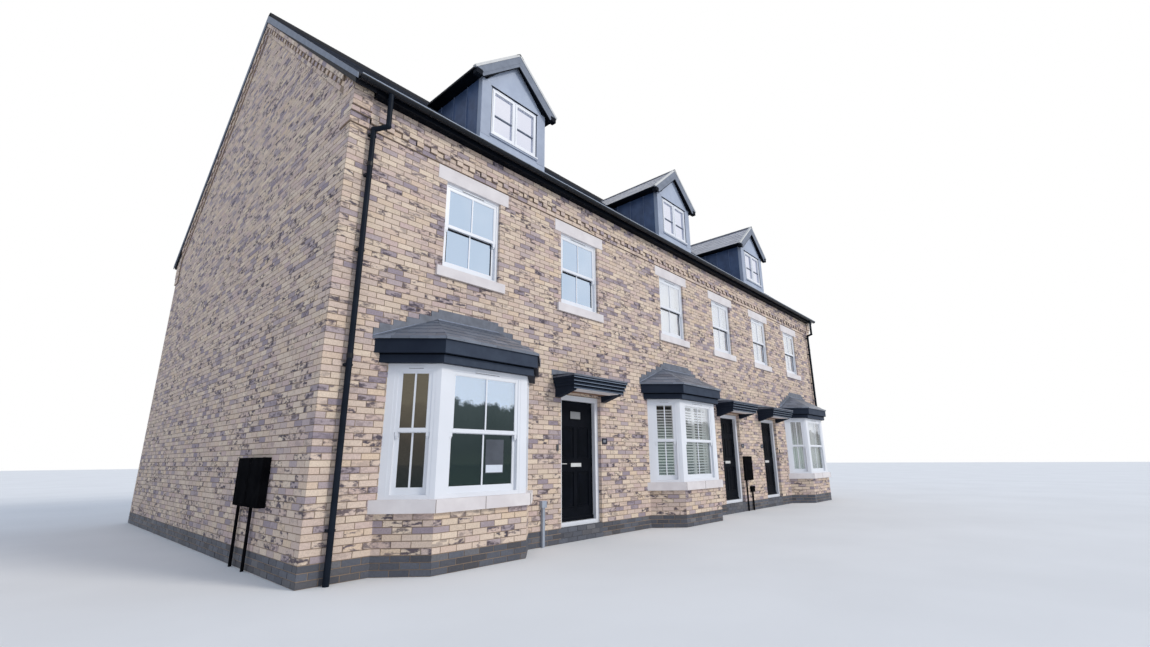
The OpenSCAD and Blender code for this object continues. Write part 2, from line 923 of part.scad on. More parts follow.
// Back doors, which stay shut: frame and leaf in one
module rear_doors() {
    color("white")
        for (x = DOOR_PLACES)
            translate([x, y_rear - door_set, 0])
                rotate([0, 0, 180]) {
                    door_frame();
                    box([-doorway_w / 2 + jamb_w, stop_t, plinth_z + threshold_h],
                        [doorway_w / 2 - jamb_w, stop_t + leaf_t, doorway_z - jamb_w]);
                }
}

// Sash windows

// Fixed box, upper sash in the outer track and lower sash in the inner track,
// drawn at the middle of the outer face of an opening w by h whose foot is at z
module sashes(w, h, z) {
    mid = z + h / 2;
    in = w / 2 - frame_face;
    frame_ring(w, h, z, frame_face, 0, sash_set + 2 * (sash_d - sash_lap));
    sash(in, mid - meeting_rail / 2, z + h - frame_face, stile_w, meeting_rail, sash_set);
    sash(in, z + frame_face, mid + meeting_rail / 2, meeting_rail, bottom_rail,
        sash_set + sash_d - sash_lap);
}

module frame_ring(w, h, z, f, y, d) {
    difference() {
        box([-w / 2, y, z], [w / 2, y + d, z + h]);
        box([-w / 2 + f, y - 1, z + f], [w / 2 - f, y + d + 1, z + h - f]);
    }
}

module sash(half, z0, z1, top_rail, low_rail, y) {
    difference() {
        box([-half, y, z0], [half, y + sash_d, z1]);
        box([-half + stile_w, y - 1, z0 + low_rail],
            [half - stile_w, y + sash_d + 1, z1 - top_rail]);
    }
}

module panes(w, h, z) {
    mid = z + h / 2;
    in = w / 2 - frame_face - stile_w;
    y = sash_set + (sash_d - glass_t) / 2;
    y_in = y + sash_d - sash_lap;
    box([-in, y, mid + meeting_rail / 2], [in, y + glass_t, z + h - frame_face - stile_w]);
    box([-in, y_in, z + frame_face + bottom_rail],
        [in, y_in + glass_t, mid - meeting_rail / 2]);
}

// Every sash window outside the bays, for the front and for the rear
module at_windows() {
    for (x = WINDOW_PLACES) {
        translate([x, y_front + frame_set, sill_z]) children();
        translate([x, y_rear - frame_set, sill_z]) rotate([0, 0, 180]) children();
    }
    for (x = BAY_PLACES)
        translate([x, y_rear - frame_set, rear_sill_z]) rotate([0, 0, 180]) children();
}

module window_frames() {
    color("white") at_windows() sashes(window_w, window_h, 0);
}

module window_glass() {
    color("lightcyan") at_windows() panes(window_w, window_h, 0);
}

module stone(w, h, out) {
    box([-w / 2, -out, 0], [w / 2, wall_t, h]);
}

module window_sills() {
    color("linen")
        translate([0, 0, -sill_h])
            at_windows()
                translate([0, -frame_set, 0])
                    stone(window_w + 2 * sill_ear, sill_h, sill_out);
}

module window_lintels() {
    color("linen") {
        translate([0, 0, window_h])
            at_windows()
                translate([0, -frame_set, 0])
                    stone(window_w + 2 * lintel_ear, lintel_h, lintel_out);
        for (x = DOOR_PLACES)
            translate([x, y_rear, doorway_z])
                rotate([0, 0, 180])
                    stone(doorway_w + 2 * lintel_ear, lintel_h, lintel_out);
    }
}

// Eaves brickwork

dentil_z = string_z + course;
oversail_z = dentil_z + course;
eaves_end = x_left + kneeler_w;

// String course, dentils and oversailing courses between the corner kneelers
module eaves_courses() {
    run = row_w - 2 * kneeler_w;
    count = floor((run - dentil_w) / dentil_pitch);
    first = -count * dentil_pitch / 2;
    color("tan")
        front_and_rear() {
            box([eaves_end, y_front - string_out, string_z],
                [-eaves_end, y_front, dentil_z]);
            for (k = [0 : count])
                translate([first + k * dentil_pitch - dentil_w / 2, y_front - eaves_out,
                        dentil_z])
                    cube([dentil_w, eaves_out, course]);
            box([eaves_end, y_front - eaves_out, oversail_z],
                [-eaves_end, y_front, head_z]);
        }
}

// Corner corbels that carry the end of the eaves and the foot of the verge
module kneelers() {
    step_z = oversail_z + course;
    step_out = eaves_out + kneeler_step;
    color("tan")
        front_and_rear()
            left_and_right() {
                box([x_left - string_out, y_front - string_out, string_z],
                    [eaves_end, y_front, oversail_z]);
                box([x_left - string_out, y_front - eaves_out, oversail_z],
                    [eaves_end, y_front, step_z]);
                along_x(x_left - string_out, kneeler_w + string_out)
                    slope_block(y_front - step_out, y_front, step_z);
                along_x(x_left - string_out, string_out)
                    slope_block(y_front, y_front + return_w, string_z);
            }
}

// Wall from y0 to y1 that stands on z and ends under the front slope of the roof
module slope_block(y0, y1, z) {
    polygon([[y0, z], [y1, z], [y1, wall_top(y1)], [y0, wall_top(y0)]]);
}

verge_y = depth / 2 - return_w;

// Raking string course, dentils and top courses on both gables
module verge_courses() {
    run = verge_y / cos(pitch);
    count = floor((run - 2 * dentil_w) / dentil_pitch);
    color("tan")
        left_and_right()
            for (s = [-1, 1]) {
                along_x(x_left - eaves_out, eaves_out) rake_band(s, 0, course);
                along_x(x_left - string_out, string_out) rake_band(s, 2 * course, course);
                for (k = [0 : count])
                    along_x(x_left - eaves_out, eaves_out)
                        rake_block(s, dentil_w + k * dentil_pitch);
            }
}

// Band that starts d below the roof, measured square to it, and is t deep
module rake_band(s, d, t) {
    top = wall_top(0) - d / cos(pitch);
    low = wall_top(verge_y) - d / cos(pitch);
    deep = t / cos(pitch);
    polygon([[0, top], [s * verge_y, low], [s * verge_y, low - deep], [0, top - deep]]);
}

// Dentil brick of the rake, u down the slope from the ridge
module rake_block(s, u) {
    translate([0, wall_top(0)])
        rotate(-s * pitch)
            translate([s > 0 ? u : -u - dentil_w, -2 * course])
                square([dentil_w, course]);
}

// Roof edge

fascia_y = y_front - fascia_out;

module soffit_fascias() {
    y_in = fascia_y + fascia_t;
    color("darkslategray")
        front_and_rear()
            along_x(eaves_end, -2 * eaves_end)
                polygon([[fascia_y, head_z - fascia_drop],
                    [fascia_y, top_z(fascia_y) - tile_v], [y_in, top_z(y_in) - tile_v],
                    [y_in, head_z + soffit_t], [y_front, head_z + soffit_t],
                    [y_front, head_z], [y_in, head_z], [y_in, head_z - fascia_drop]]);
}

gutter_y = fascia_y - gutter_r;
gutter_z = head_z + gutter_rise;
gutter_end = x_left - verge_out / 2;

module gutters() {
    color("black")
        front_and_rear() {
            along_x(gutter_end, -2 * gutter_end)
                difference() {
                    gutter_outline(gutter_r);
                    gutter_outline(gutter_r - gutter_t);
                }
            left_and_right() along_x(gutter_end - gutter_t, gutter_t) gutter_cap_outline();
        }
}

// End of the gutter, cut back under the tiles that reach into it
module gutter_cap_outline() {
    difference() {
        gutter_outline(gutter_r);
        rect([-tile_y - tile_clear, tile_z - tile_v - tile_clear], [0, head_z + far]);
    }
}

// Lower half of a circle of radius r in the middle of the gutter
module gutter_outline(r) {
    translate([gutter_y, gutter_z])
        difference() {
            circle(r = r, $fn = 48);
            rect([-gutter_r, 0], [gutter_r, gutter_r]);
        }
}

// Heights of the pipe clips, the foot of the swan neck and its upper end
CLIPS = [530, 2330, 3760, 4780, 5365];
neck_z = string_z - neck_drop;
neck_top = neck_z + neck_rise;

// Downpipe with its swan neck up to the gutter, and the clips that hold it to the wall
module downpipe() {
    y_up = gutter_y - y_front;
    x_up = pipe_x + neck_throw;
    color("black")
        translate([x_left, y_front, 0]) {
            rod([pipe_x, -pipe_off, 0], [pipe_x, -pipe_off, neck_z]);
            elbow([pipe_x, -pipe_off, neck_z]);
            rod([pipe_x, -pipe_off, neck_z], [x_up, y_up, neck_top]);
            elbow([x_up, y_up, neck_top]);
            rod([x_up, y_up, neck_top], [x_up, y_up, gutter_z - gutter_r - bed]);
            for (z = CLIPS)
                box([pipe_x - pipe_r - clip_ear, -pipe_off, z],
                    [pipe_x + pipe_r + clip_ear, 0, z + clip_h]);
        }
}

// Round pipe from a to b
module rod(a, b) {
    v = b - a;
    translate(a)
        rotate([0, acos(v[2] / norm(v)), atan2(v[1], v[0])])
            cylinder(h = norm(v), r = pipe_r, $fn = 32);
}

module elbow(p) {
    translate(p) sphere(r = pipe_r + socket_t, $fn = 32);
}

module downpipes() {
    front_and_rear() left_and_right() downpipe();
}

// Roof

// Section of one half of the roof, with the timbers cut back behind the fascia
module roof_section() {
    y_in = -fascia_y - fascia_t;
    z_in = head_z + soffit_t;
    polygon([[-tile_y, tile_z], [0, ridge_z], [0, ridge_z - roof_v],
        [-under_y(z_in), z_in], [-y_in, z_in], [-y_in, top_z(y_in) - tile_v],
        [-tile_y, tile_z - tile_v]]);
}

module roof_half() {
    along_x(x_left - verge_out, row_w + 2 * verge_out) roof_section();
}

// Part of the front roof between two distances from the middle of the row
module roof_strip(y0, y1) {
    intersection() {
        roof_half();
        box([-row_w, y0, 0], [row_w, y1, ridge_z + 1]);
    }
}

// The front roof is in three strips: below, beside and above the holes of the dormers
module roof_front_low() {
    color("dimgray") roof_strip(-2 * depth, hole_low);
}

module roof_front_mid() {
    half = dormer_w / 2 - dormer_t;
    color("dimgray")
        difference() {
            roof_strip(hole_low, hole_high);
            for (x = DORMER_PLACES)
                box([x - half, hole_low - 1, head_z], [x + half, hole_high + 1, ridge_z]);
        }
}

module roof_front_high() {
    color("dimgray") roof_strip(hole_high, 0);
}

module roof_rear() {
    color("dimgray") mirror([0, 1, 0]) roof_half();
}

module ridge_tiles() {
    color("dimgray")
        along_x(x_left - verge_out, row_w + 2 * verge_out)
            difference() {
                translate([0, ridge_z - ridge_r / 2]) circle(r = ridge_r, $fn = 48);
                translate([0, ridge_z - ridge_r / 2]) circle(r = ridge_r - ridge_t, $fn = 48);
                polygon([[0, ridge_z], [far, ridge_z - far * rise],
                    [-far, ridge_z - far * rise]]);
            }
}

// Trims that close the ends of the tiles on the gables
module verge_trims() {
    low = roof_v - 5;
    color("slategray")
        left_and_right()
            along_x(x_left - verge_out - verge_t, verge_t)
                polygon([[-tile_y, tile_z], [0, ridge_z], [tile_y, tile_z],
                    [tile_y, tile_z - low / 2], [0, ridge_z - low],
                    [-tile_y, tile_z - low / 2]]);
}

// Dormers

module below_roof() {
    along_x(-far, 2 * far)
        polygon([[-tile_y, tile_z], [0, ridge_z], [0, 0], [-tile_y, 0]]);
}

// Front of a dormer: the wall round its window and the panel in its gable
module dormer_faces() {
    half = dormer_w / 2;
    color("gainsboro")
        for (x = DORMER_PLACES)
            difference() {
                along_y(dormer_y, dormer_t)
                    difference() {
                        union() {
                            rect([x - half, head_z], [x + half, dormer_z]);
                            dormer_attic_outline(x);
                        }
                        rect([x - dormer_win_w / 2, dormer_sill_z],
                            [x + dormer_win_w / 2, dormer_sill_z + dormer_win_h]);
                    }
                below_roof();
            }
}

module dormer_cheeks() {
    half = dormer_w / 2;
    color("darkslategray")
        for (x = DORMER_PLACES)
            difference() {
                box([x - half, hole_low, head_z], [x + half, hole_high, dormer_z]);
                box([x - half + dormer_t, hole_low - 1, 0],
                    [x + half - dormer_t, hole_high + 1, dormer_z + 1]);
                below_roof();
            }
}

module dormer_frame_outline(x) {
    difference() {
        rect([x - dormer_win_w / 2, dormer_sill_z],
            [x + dormer_win_w / 2, dormer_sill_z + dormer_win_h]);
        dormer_pane_outline(x);
    }
}

// The two lights of a dormer window
module dormer_pane_outline(x) {
    light = dormer_win_w / 2 - 1.5 * dormer_bar;
    for (left = [x - dormer_bar / 2 - light, x + dormer_bar / 2])
        rect([left, dormer_sill_z + dormer_bar],
            [left + light, dormer_sill_z + dormer_win_h - dormer_bar]);
}

module dormer_window_frames() {
    color("white")
        for (x = DORMER_PLACES)
            along_y(dormer_y + dormer_frame_set, dormer_frame_d) dormer_frame_outline(x);
}

module dormer_glass() {
    color("lightcyan")
        for (x = DORMER_PLACES)
            along_y(dormer_y + dormer_frame_set + (dormer_frame_d - glass_t) / 2, glass_t)
                dormer_pane_outline(x);
}

module dormer_roof_outline(x) {
    polygon([[x - dormer_half_w, dormer_z], [x + dormer_half_w, dormer_z],
        [x + dormer_half_w, dormer_z + dormer_edge], [x, dormer_ridge_z],
        [x - dormer_half_w, dormer_z + dormer_edge]]);
}

// Space under a dormer roof, from the inside of one cheek to the other
module dormer_attic_outline(x) {
    half = dormer_w / 2 - dormer_t;
    polygon([[x - half, dormer_z], [x + half, dormer_z],
        [x, dormer_ridge_z - dormer_roof_h / cos(pitch)]]);
}

module dormer_roofs() {
    color("dimgray")
        for (x = DORMER_PLACES)
            difference() {
                along_y(dormer_y - dormer_out, dormer_out - dormer_y)
                    difference() {
                        dormer_roof_outline(x);
                        dormer_attic_outline(x);
                    }
                below_roof();
            }
}

module dormer_bargeboards() {
    color("slategray")
        for (x = DORMER_PLACES)
            along_y(dormer_y - dormer_out - barge_t, barge_t)
                difference() {
                    dormer_roof_outline(x);
                    translate([0, -barge_h / cos(pitch)]) dormer_roof_outline(x);
                }
}

// Fittings

// Meter box over its duct, which stands on the ground, against a wall face at y = 0
module meter_box(x, out) {
    box([x, -out, meter_z], [x + meter_w, 0, meter_z + meter_h]);
    translate([x + duct_x, -out / 2, 0]) cylinder(h = meter_z, r = duct_r, $fn = 24);
}

module meter_boxes() {
    front_x = DOOR_PLACES[1] + doorway_w / 2 + front_meter_gap;
    color("black") {
        translate([x_left, y_front, 0])
            rotate([0, 0, -90]) {
                meter_box(-gable_meter_y - meter_w, meter_out);
                meter_box(-gable_meter_y - 2 * meter_w - meter_gap, meter_out);
            }
        translate([front_x, y_front, 0]) {
            meter_box(0, front_meter_out);
            box([meter_w - service_w, -service_out, service_z],
                [meter_w, 0, service_z + service_h]);
            translate([meter_w - service_w / 2, -service_out / 2, 0])
                cylinder(h = service_z, r = duct_r, $fn = 24);
        }
    }
}

// Door bells, plain number plates and the service duct of the first house
module wall_fittings() {
    side = doorway_w / 2 + bell_gap;
    color("dimgray")
        for (i = HOUSES) {
            bell_x = at(i, door_c) - HAND[i] * side;
            plate_x = at(i, door_c) + HAND[i] * side;
            box([bell_x - bell_w / 2, y_front - bell_w / 2, bell_z],
                [bell_x + bell_w / 2, y_front, bell_z + bell_h]);
            box([plate_x - plate_w / 2, y_front - plate_t, plate_z],
                [plate_x + plate_w / 2, y_front, plate_z + plate_w]);
        }
    color("lightgray")
        translate([DOOR_PLACES[0] - doorway_w / 2 - riser_gap, y_front, 0]) {
            box([-riser_w / 2, -riser_w, 0], [riser_w / 2, 0, riser_h]);
            box([-riser_box / 2, -riser_w - riser_w / 4, riser_h],
                [riser_box / 2, 0, riser_h + riser_box]);
        }
}

gable_wall_left();
gable_wall_right();
party_walls();
front_piers();
front_wall_over_openings();
doorstep_walls();
front_wall_upper();
rear_wall_ground();
rear_wall_upper();
wall_plates();
ground_floor();
first_floor();
attic_floor();
bay_base_walls();
bay_sills();
bay_frames();
bay_glass();
bay_fascias();
bay_roofs();
bay_flashings();
canopies();
canopy_brackets();
door_frames();
window_sills();
window_lintels();
window_frames();
window_glass();
rear_doors();
eaves_courses();
kneelers();
verge_courses();
soffit_fascias();
gutters();
downpipes();
roof_front_low();
roof_front_mid();
roof_front_high();
roof_rear();
ridge_tiles();
verge_trims();
dormer_faces();
dormer_cheeks();
dormer_window_frames();
dormer_glass();
dormer_roofs();
dormer_bargeboards();
meter_boxes();
wall_fittings();
door_hinges();
door_1();
door_2();
door_3();
door_1_furniture();
door_2_furniture();
door_3_furniture();
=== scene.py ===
"""Looks of a row of three brick terraced houses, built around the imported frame.

Metres, +Z up, fronts facing -Y. Walls get real bricks, roofs get real slates,
and the windows, doors, bays and dormers get the trim that shows on such houses.
Endings of names: _OUT from the wall, _SET behind it, _W wide, _H high, _D deep,
_T thick, _L long, _R radius, _X, _Y and _Z places, _V and _N spans up and out of a face.
"""

import json
import math
import random
from collections import namedtuple

import bpy
from mathutils import Matrix, Vector

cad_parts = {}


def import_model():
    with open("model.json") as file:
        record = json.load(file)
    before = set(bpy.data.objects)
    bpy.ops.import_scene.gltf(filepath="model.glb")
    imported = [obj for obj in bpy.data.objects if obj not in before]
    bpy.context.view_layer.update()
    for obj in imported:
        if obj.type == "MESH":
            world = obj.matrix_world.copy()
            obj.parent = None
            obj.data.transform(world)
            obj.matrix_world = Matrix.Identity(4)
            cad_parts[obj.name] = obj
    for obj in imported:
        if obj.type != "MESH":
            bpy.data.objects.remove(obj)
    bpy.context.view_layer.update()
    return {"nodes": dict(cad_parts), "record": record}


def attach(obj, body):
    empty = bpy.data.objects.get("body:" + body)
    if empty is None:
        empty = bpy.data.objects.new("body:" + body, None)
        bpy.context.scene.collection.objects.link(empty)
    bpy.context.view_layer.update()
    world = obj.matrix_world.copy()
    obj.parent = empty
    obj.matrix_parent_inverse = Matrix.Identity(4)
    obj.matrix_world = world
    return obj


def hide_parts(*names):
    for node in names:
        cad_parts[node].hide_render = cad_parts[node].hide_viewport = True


# Row
HOUSE_W, DEPTH = 5.6, 9.4
X_LEFT, X_RIGHT, Y_FRONT, Y_REAR = -8.4, 8.4, -4.7, 4.7
ROW_L = X_RIGHT - X_LEFT
HAND = (1, 1, -1)
HOUSES = range(3)
BAY_C, DOOR_C, DORMER_C = 1.985, 4.405, 3.170

# Brickwork
COURSE, PITCH_U, JOINT = 0.075, 0.225, 0.010
PROUD, PROUD_JITTER = 0.0045, 0.0015
MIN_BRICK, MIN_COURSE, NEAR_END, OVERLAP, TOUCH = 0.02, 0.05, 0.03, 0.002, 0.01
PLINTH_COURSES, STRING_COURSE, HEAD_COURSE, GABLE_COURSES = 3, 73, 79, 136
STRING_OUT, EAVES_OUT, KNEELER_OUT = 0.022, 0.048, 0.073
KNEELER_W, RETURN_W = 0.235, 0.280
DENTIL_W, DENTIL_PITCH, DENTIL_FILL = 0.102, 0.225, 0.028

# Openings
WINDOW_W, WINDOW_H, SILL_Z = 1.022, 1.350, 3.900
SILL_EAR, LINTEL_EAR, SILL_COURSES, LINTEL_COURSES = 0.100, 0.150, 2, 3
WINDOW_SET, FRAME_FACE, STILE_W = 0.040, 0.048, 0.046
BOTTOM_RAIL, MEETING_RAIL, SASH_D = 0.075, 0.042, 0.040
SASH_SET, SASH_LAP, GLASS_T, GLASS_LAP = 0.008, 0.004, 0.020, 0.004
BAR_W, BAR_OUT, BEAD_W, BEAD_OUT = 0.022, 0.010, 0.008, 0.006
HORN_H, HORN_TIP_H, HORN_TIP_IN, HORN_IN = 0.050, 0.072, 0.008, 0.006
HORN_N = (-SASH_SET - SASH_D, -SASH_SET - 0.002)
HORN_TIP_N = (-SASH_SET - SASH_D, -SASH_SET - 0.008)
SLOT_SHORT, SLOT_H, SLOT_OUT = 0.02, 0.005, 0.006
VENT_W, VENT_SHARE, VENT_OUT, VENT_LOW, VENT_TOP = 0.42, 1.2, 0.010, 0.036, 0.016
# Painted shadow strips round the lower pane
PANE_SHADOW_H, PANE_SHADOW_W, PANE_SHADOW_OUT = 0.026, 0.014, 0.007
DOORWAY_W, DOORWAY_Z, DOOR_SET, LEAF_BACK, PANEL_SINK = 1.022, 2.325, 0.065, 0.072, 0.006
LEAF_Y = Y_FRONT + DOOR_SET + LEAF_BACK + PANEL_SINK
LEAF_LOW, LEAF_HIGH, LETTER_Z, LEAF_HALF = 0.296, 2.259, 1.175, 0.430
PANEL_W, PANEL_X, PANEL_FRAME, FIELD_IN, BEVEL = 0.280, 0.190, 0.014, 0.022, 0.026
DOOR_LIGHT_OUT, DOOR_PANE_N = 0.006, -0.002
DOOR_LIGHT_W, DOOR_LIGHT_LOW, DOOR_LIGHT_TOP, DOOR_LIGHT_RIM = 0.150, 0.334, 0.176, 0.016
PANEL_PAST, PANEL_FRAME_OUT, FIELD_N = 0.006, 0.004, -0.001
PANEL_FOOT, LETTER_CLEAR, LIT_PANEL_TOP = 0.210, 0.110, 0.460
MID_PANEL_TOP, HIGH_PANEL_FOOT, HIGH_PANEL_TOP = 0.520, 0.400, 0.140
BAR_LOW, BAR_TOP, BAR_D, BAR_NOSE = 0.004, 0.040, 0.022, 0.006
PLINTH_Z = PLINTH_COURSES * COURSE
REAR_SILL_Z = DOORWAY_Z - WINDOW_H

# Behind the glass
PLEAT, PLEAT_H, PLEAT_N = 0.05, 0.046, (-0.150, -0.142)
STRIP_PITCH, STRIP_W, STRIP_BACK, STRIP_N = 0.09, 0.075, -0.130, (-0.018, -0.014)
STRIP_FIRST, STRIP_TOP = 0.1, 0.05
SHUTTER_BACK, SHUTTER_STILE, SHUTTER_RAIL, WIDE_LIGHT = -0.120, 0.040, 0.06, 0.4
SLAT_PITCH, SLAT_FIRST, SLAT_HALF, SLAT_T = 0.055, 0.125, 0.017, 0.003
SHUTTER_GAP, STILE_N, RAIL_N = 0.002, (-0.026, 0.0), (-0.024, -0.002)
SLAT_N, SLAT_COS, SLAT_SIN = -0.012, 0.8, 0.6
SHEET_AT, SHEET_X, SHEET_W, SHEET_LOW, SHEET_TOP = 0.30, 0.100, 0.300, 0.500, 0.070
SHEET_MARGIN, SHEET_FOOT, SHEET_N = 0.010, 0.105, (0.0015, 0.003, 0.004)

# Bays
BAY_HALF, BAY_OUT = 0.725, 0.485
BAY_SILL_Z, BAY_FRAME_Z, BAY_HEAD_Z, BAY_SILL_OUT = 0.675, 0.825, 2.430, 0.060
BAY_OPENING_W, BAY_FRAME_SET, BAY_LIGHT_SET, BAY_LIGHT_H = 2.100, 0.015, 0.003, 1.585
BAY_POST, BAY_CORNER_POST, BAY_WALL_POST = 0.118, 0.056, 0.090
SILL_MARK_W, SILL_MARKS = 0.008, (0.004, 0.73, -0.012)
SILL_MARK_TOP, SILL_MARK_N = 0.002, (-0.001, 0.0015)
LOW_FASCIA_OUT, LOW_FASCIA_H = 0.075, 0.113
HIGH_FASCIA_OUT, HIGH_FASCIA_H = 0.130, 0.172
# Painted shadow strip under the upper fascia board, and the lighter front boards that paint the
# sky reflection
SHADOW_STRIP_H, SHADOW_STRIP_T, LIT_BOARD_T = 0.016, 0.003, 0.002
BAY_ROOF_Z, BAY_ROOF_EDGE, BAY_ROOF_RISE, BAY_ROOF_OUT = 2.715, 0.030, 0.405, 0.150
BAY_RUN = BAY_OUT + BAY_ROOF_OUT
BAY_TOP_HALF = BAY_HALF + BAY_OUT - BAY_OUT * math.sqrt(2)
BAY_FOOT = BAY_TOP_HALF + BAY_RUN * math.sqrt(2)
CANT = math.tan(math.radians(22.5))
FLASHING_H, FLASHING_T, APRON, APRON_N = 0.150, 0.013, 0.075, (0.004, 0.012)
FOLD_HIGHLIGHT_W, FOLD_HIGHLIGHT_N, STRIP_SHARE_WALL, STRIP_SHARE_TOP = 0.016, (0.012, 0.018), 1.3, 0.27

# Canopies
CANOPY_W, CANOPY_OUT, CANOPY_Z, CANOPY_H = 1.414, 0.480, 2.372, 0.218
CANOPY_FALL, CANOPY_STEP, CANOPY_STEPS, BRACKET_W = 0.030, 0.018, 4, 0.120
SOFFIT_BACK, SOFFIT_IN = 0.45, 0.02
LEAD_T, LEAD_LIP, LEAD_UP, LEAD_IN, LEAD_OVER = 0.006, 0.022, 0.050, 0.002, 0.004
LEAD_HEEL, LEAD_HEAD, COVER_OVER, COVER_UP, COVER_T = 0.012, 0.008, 0.030, 0.090, 0.012
SOFFIT_LAP, SOFFIT_BOARD_T, SHADED_BOARD_T = 0.001, 0.010, 0.006
# Painted shadow under each canopy step, and the painted highlight strip along its foot
CANOPY_SHADOW_H, CANOPY_HIGHLIGHT_H, CANOPY_HIGHLIGHT_T = 0.014, 0.012, 0.004

# Boxes and plates on the walls
BOX_Z, BOX_W, BOX_TOP, BOX_MARGIN, BOX_RIM = 0.730, 0.452, 0.577, 0.008, 0.018
SIDE_BOX_OUT, SIDE_BOX_Y, FRONT_BOX_OUT, FRONT_BOX_X = 0.090, (-3.570, -3.095), 0.042, 2.146
RIM_OUT, LOCK_U, LOCK_V, LOCK_OUT = 0.006, (-0.060, -0.036), (0.270, 0.310), 0.008
PLATE_X, BELL_Z, BELL_OUT, BELL_R, BELL_UP, BELL_SIDES = 0.601, 1.400, 0.016, 0.011, 0.030, 20
PLAQUE_Z, PLAQUE_HALF, PLAQUE_V, PLAQUE_T = 1.540, 0.070, (-0.015, 0.085), 0.012
PLAQUE_RIM, PLAQUE_RIM_T = 0.006, 0.002
CENTRE_U, CENTRE_V, CENTRE_N = (-0.038, 0.038), (0.012, 0.058), (0.010, 0.013)
RISER_X, RISER_Z, RISER_HALF, RISER_D = 0.931, 0.558, 0.024, 0.046
RISER_BOX_Z, RISER_BOX_HALF, RISER_BOX_D = 0.657, 0.0495, 0.057
RISER_RIM, RISER_RIM_T = 0.012, 0.003

# Roof
PITCH = math.radians(41)
RISE, SIN, COS = math.tan(PITCH), math.sin(PITCH), math.cos(PITCH)
TILE_Y, TILE_Z = 4.940, 6.040
SLOPE_L = TILE_Y / COS
RIDGE_Z = TILE_Z + TILE_Y * RISE
ROOF_V = 0.130 / COS
VERGE_OUT = 0.060
RIDGE_R, RIDGE_TILES, RIDGE_SIDES, RIDGE_IN, RIDGE_UP = 0.125, 37, 12, 0.97, 1.025
RIDGE_FIRST, RIDGE_SWEEP, RIDGE_JOINT = 22, 136, 0.006

# Slates: gauge, width and thickness
Slate = namedtuple("Slate", "gauge width thick")
MAIN_SLATE = Slate(0.250, 0.300, 0.006)
BAY_SLATE = Slate(0.150, 0.250, 0.005)
DORMER_SLATE = Slate(0.190, 0.250, 0.005)
SLATE_GAP, SLATE_JITTER, SLATE_LIFT = 0.0015, 0.15, 1.15
SLATE_EDGE_T, SLATE_EDGE_GAP, RIDGE_CLEAR = 0.006, 0.0005, 0.02
VALLEY_IN, VALLEY_UNDER = 0.10, 0.15

# Rainwater goods
GUTTER_Y, GUTTER_Z, GUTTER_R, GUTTER_OVER = -4.946, 6.015, 0.056, 0.034
BRACKETS, BRACKET_HALF, BRACKET_END, STOP_W = 18, 0.014, 0.05, 0.05
UNION_HALF, UNION_EVERY, UNION_FIRST = 0.045, 5, 2
STRAP_IN, STRAP_OUT, STOP_OUT, STRAP_SIDES = 0.001, 0.004, 0.003, 14
LIP_IN, LIP_R, LIP_SIDES = 0.002, 0.008, 10
PIPE_X, PIPE_Y, CLIP_R, CLIP_H, CLIP_Z, CLIP_SIDES = 0.280, 4.770, 0.039, 0.055, (2.42, 4.92), 24

# Dormers
DORMER_Y, DORMER_W, DORMER_Z = Y_FRONT + 0.500, 1.570, 7.935
DORMER_HALF, DORMER_EDGE, DORMER_OUT = 1.010, 0.035, 0.080
DORMER_WIN_W, DORMER_WIN_H, DORMER_SILL_Z = 1.100, 0.950, 6.890
DORMER_RIDGE_Z = DORMER_Z + DORMER_EDGE + DORMER_HALF * RISE
BARGE_H, BARGE_DEEP, BARGE_T = 0.150, 0.205, 0.025
BARGE_Y = DORMER_Y - DORMER_OUT - BARGE_T
BARGE_FACE, BARGE_SHORT, BARGE_SHADE_H, BARGE_SHADE_SET = 0.020, 0.05, 0.016, 0.004
BARGE_LAP = 0.002
VERGE_STRIP_V, VERGE_STRIP_N, VERGE_STRIP_OVER = (-0.028, 0.018), (-0.060, 0.010), 0.012
CAP_L, CAP_W, CAP_LAP, CAP_GAP, CAP_N = 0.30, 0.110, 0.008, 0.004, (0.006, 0.016)
CAP_PAST, CAP_INTO = 0.010, 0.05
BARGE_END_IN, BARGE_END_W = 0.020, 0.150
BARGE_END_V, BARGE_END_N = (-0.085, 0.020), (-0.100, 0.004)
SIDE_BOARD_IN, SIDE_BOARD_EDGE, SIDE_BOARD_DOWN, SIDE_BOARD_UP = 0.012, 0.004, 0.10, 0.075
SHADE_LINE_W, SHADE_LINE_TOP, SHADE_LINE_N = 0.010, 0.012, (-0.006, 0.002)
HEAD_DRIP_OVER, HEAD_DRIP_TOP, HEAD_DRIP_OUT = 0.030, 0.022, 0.016
CASEMENT_IN, CASEMENT_W, CASEMENT_N, MULLION_HALF = 0.030, 0.040, (-0.030, 0.010), 0.018
DORMER_FRAME_SET, DORMER_BAR_AT = 0.010, 0.44
DORMER_BAR_HALF, DORMER_BAR_N = 0.009, (-0.030, -0.006)
SMALL_VENT_IN, SMALL_VENT_TOP, SMALL_VENT_LOW, SMALL_VENT_OUT = 0.06, 0.008, 0.028, 0.012
SMALL_SLOT_IN, SMALL_SLOT_LOW, SMALL_SLOT_OUT = 0.07, 0.034, 0.008
DORMER_SILL_OVER, DORMER_SILL_H, DORMER_SILL_N = 0.020, 0.028, (-0.010, 0.034)
SILL_BOARD_LOW, SILL_BOARD_T = 0.058, 0.024
SEAM_PITCH, SEAMS, SEAM_HALF, SEAM_OUT = 0.420, 5, 0.004, 0.022
SEAM_MIN, SEAM_INTO, SEAM_TOP = 0.12, 0.02, 0.005

# Camera at the photograph's viewpoint, for an image of 1150 by 647
CAMERA_AT = Vector((-10.73007, -10.66052, 1.25495))
CAMERA_YAW, CAMERA_PITCH, CAMERA_ROLL = 47.86185, 14.80849, -0.45093
CAMERA_LENS, SENSOR = 16.166, 36.0

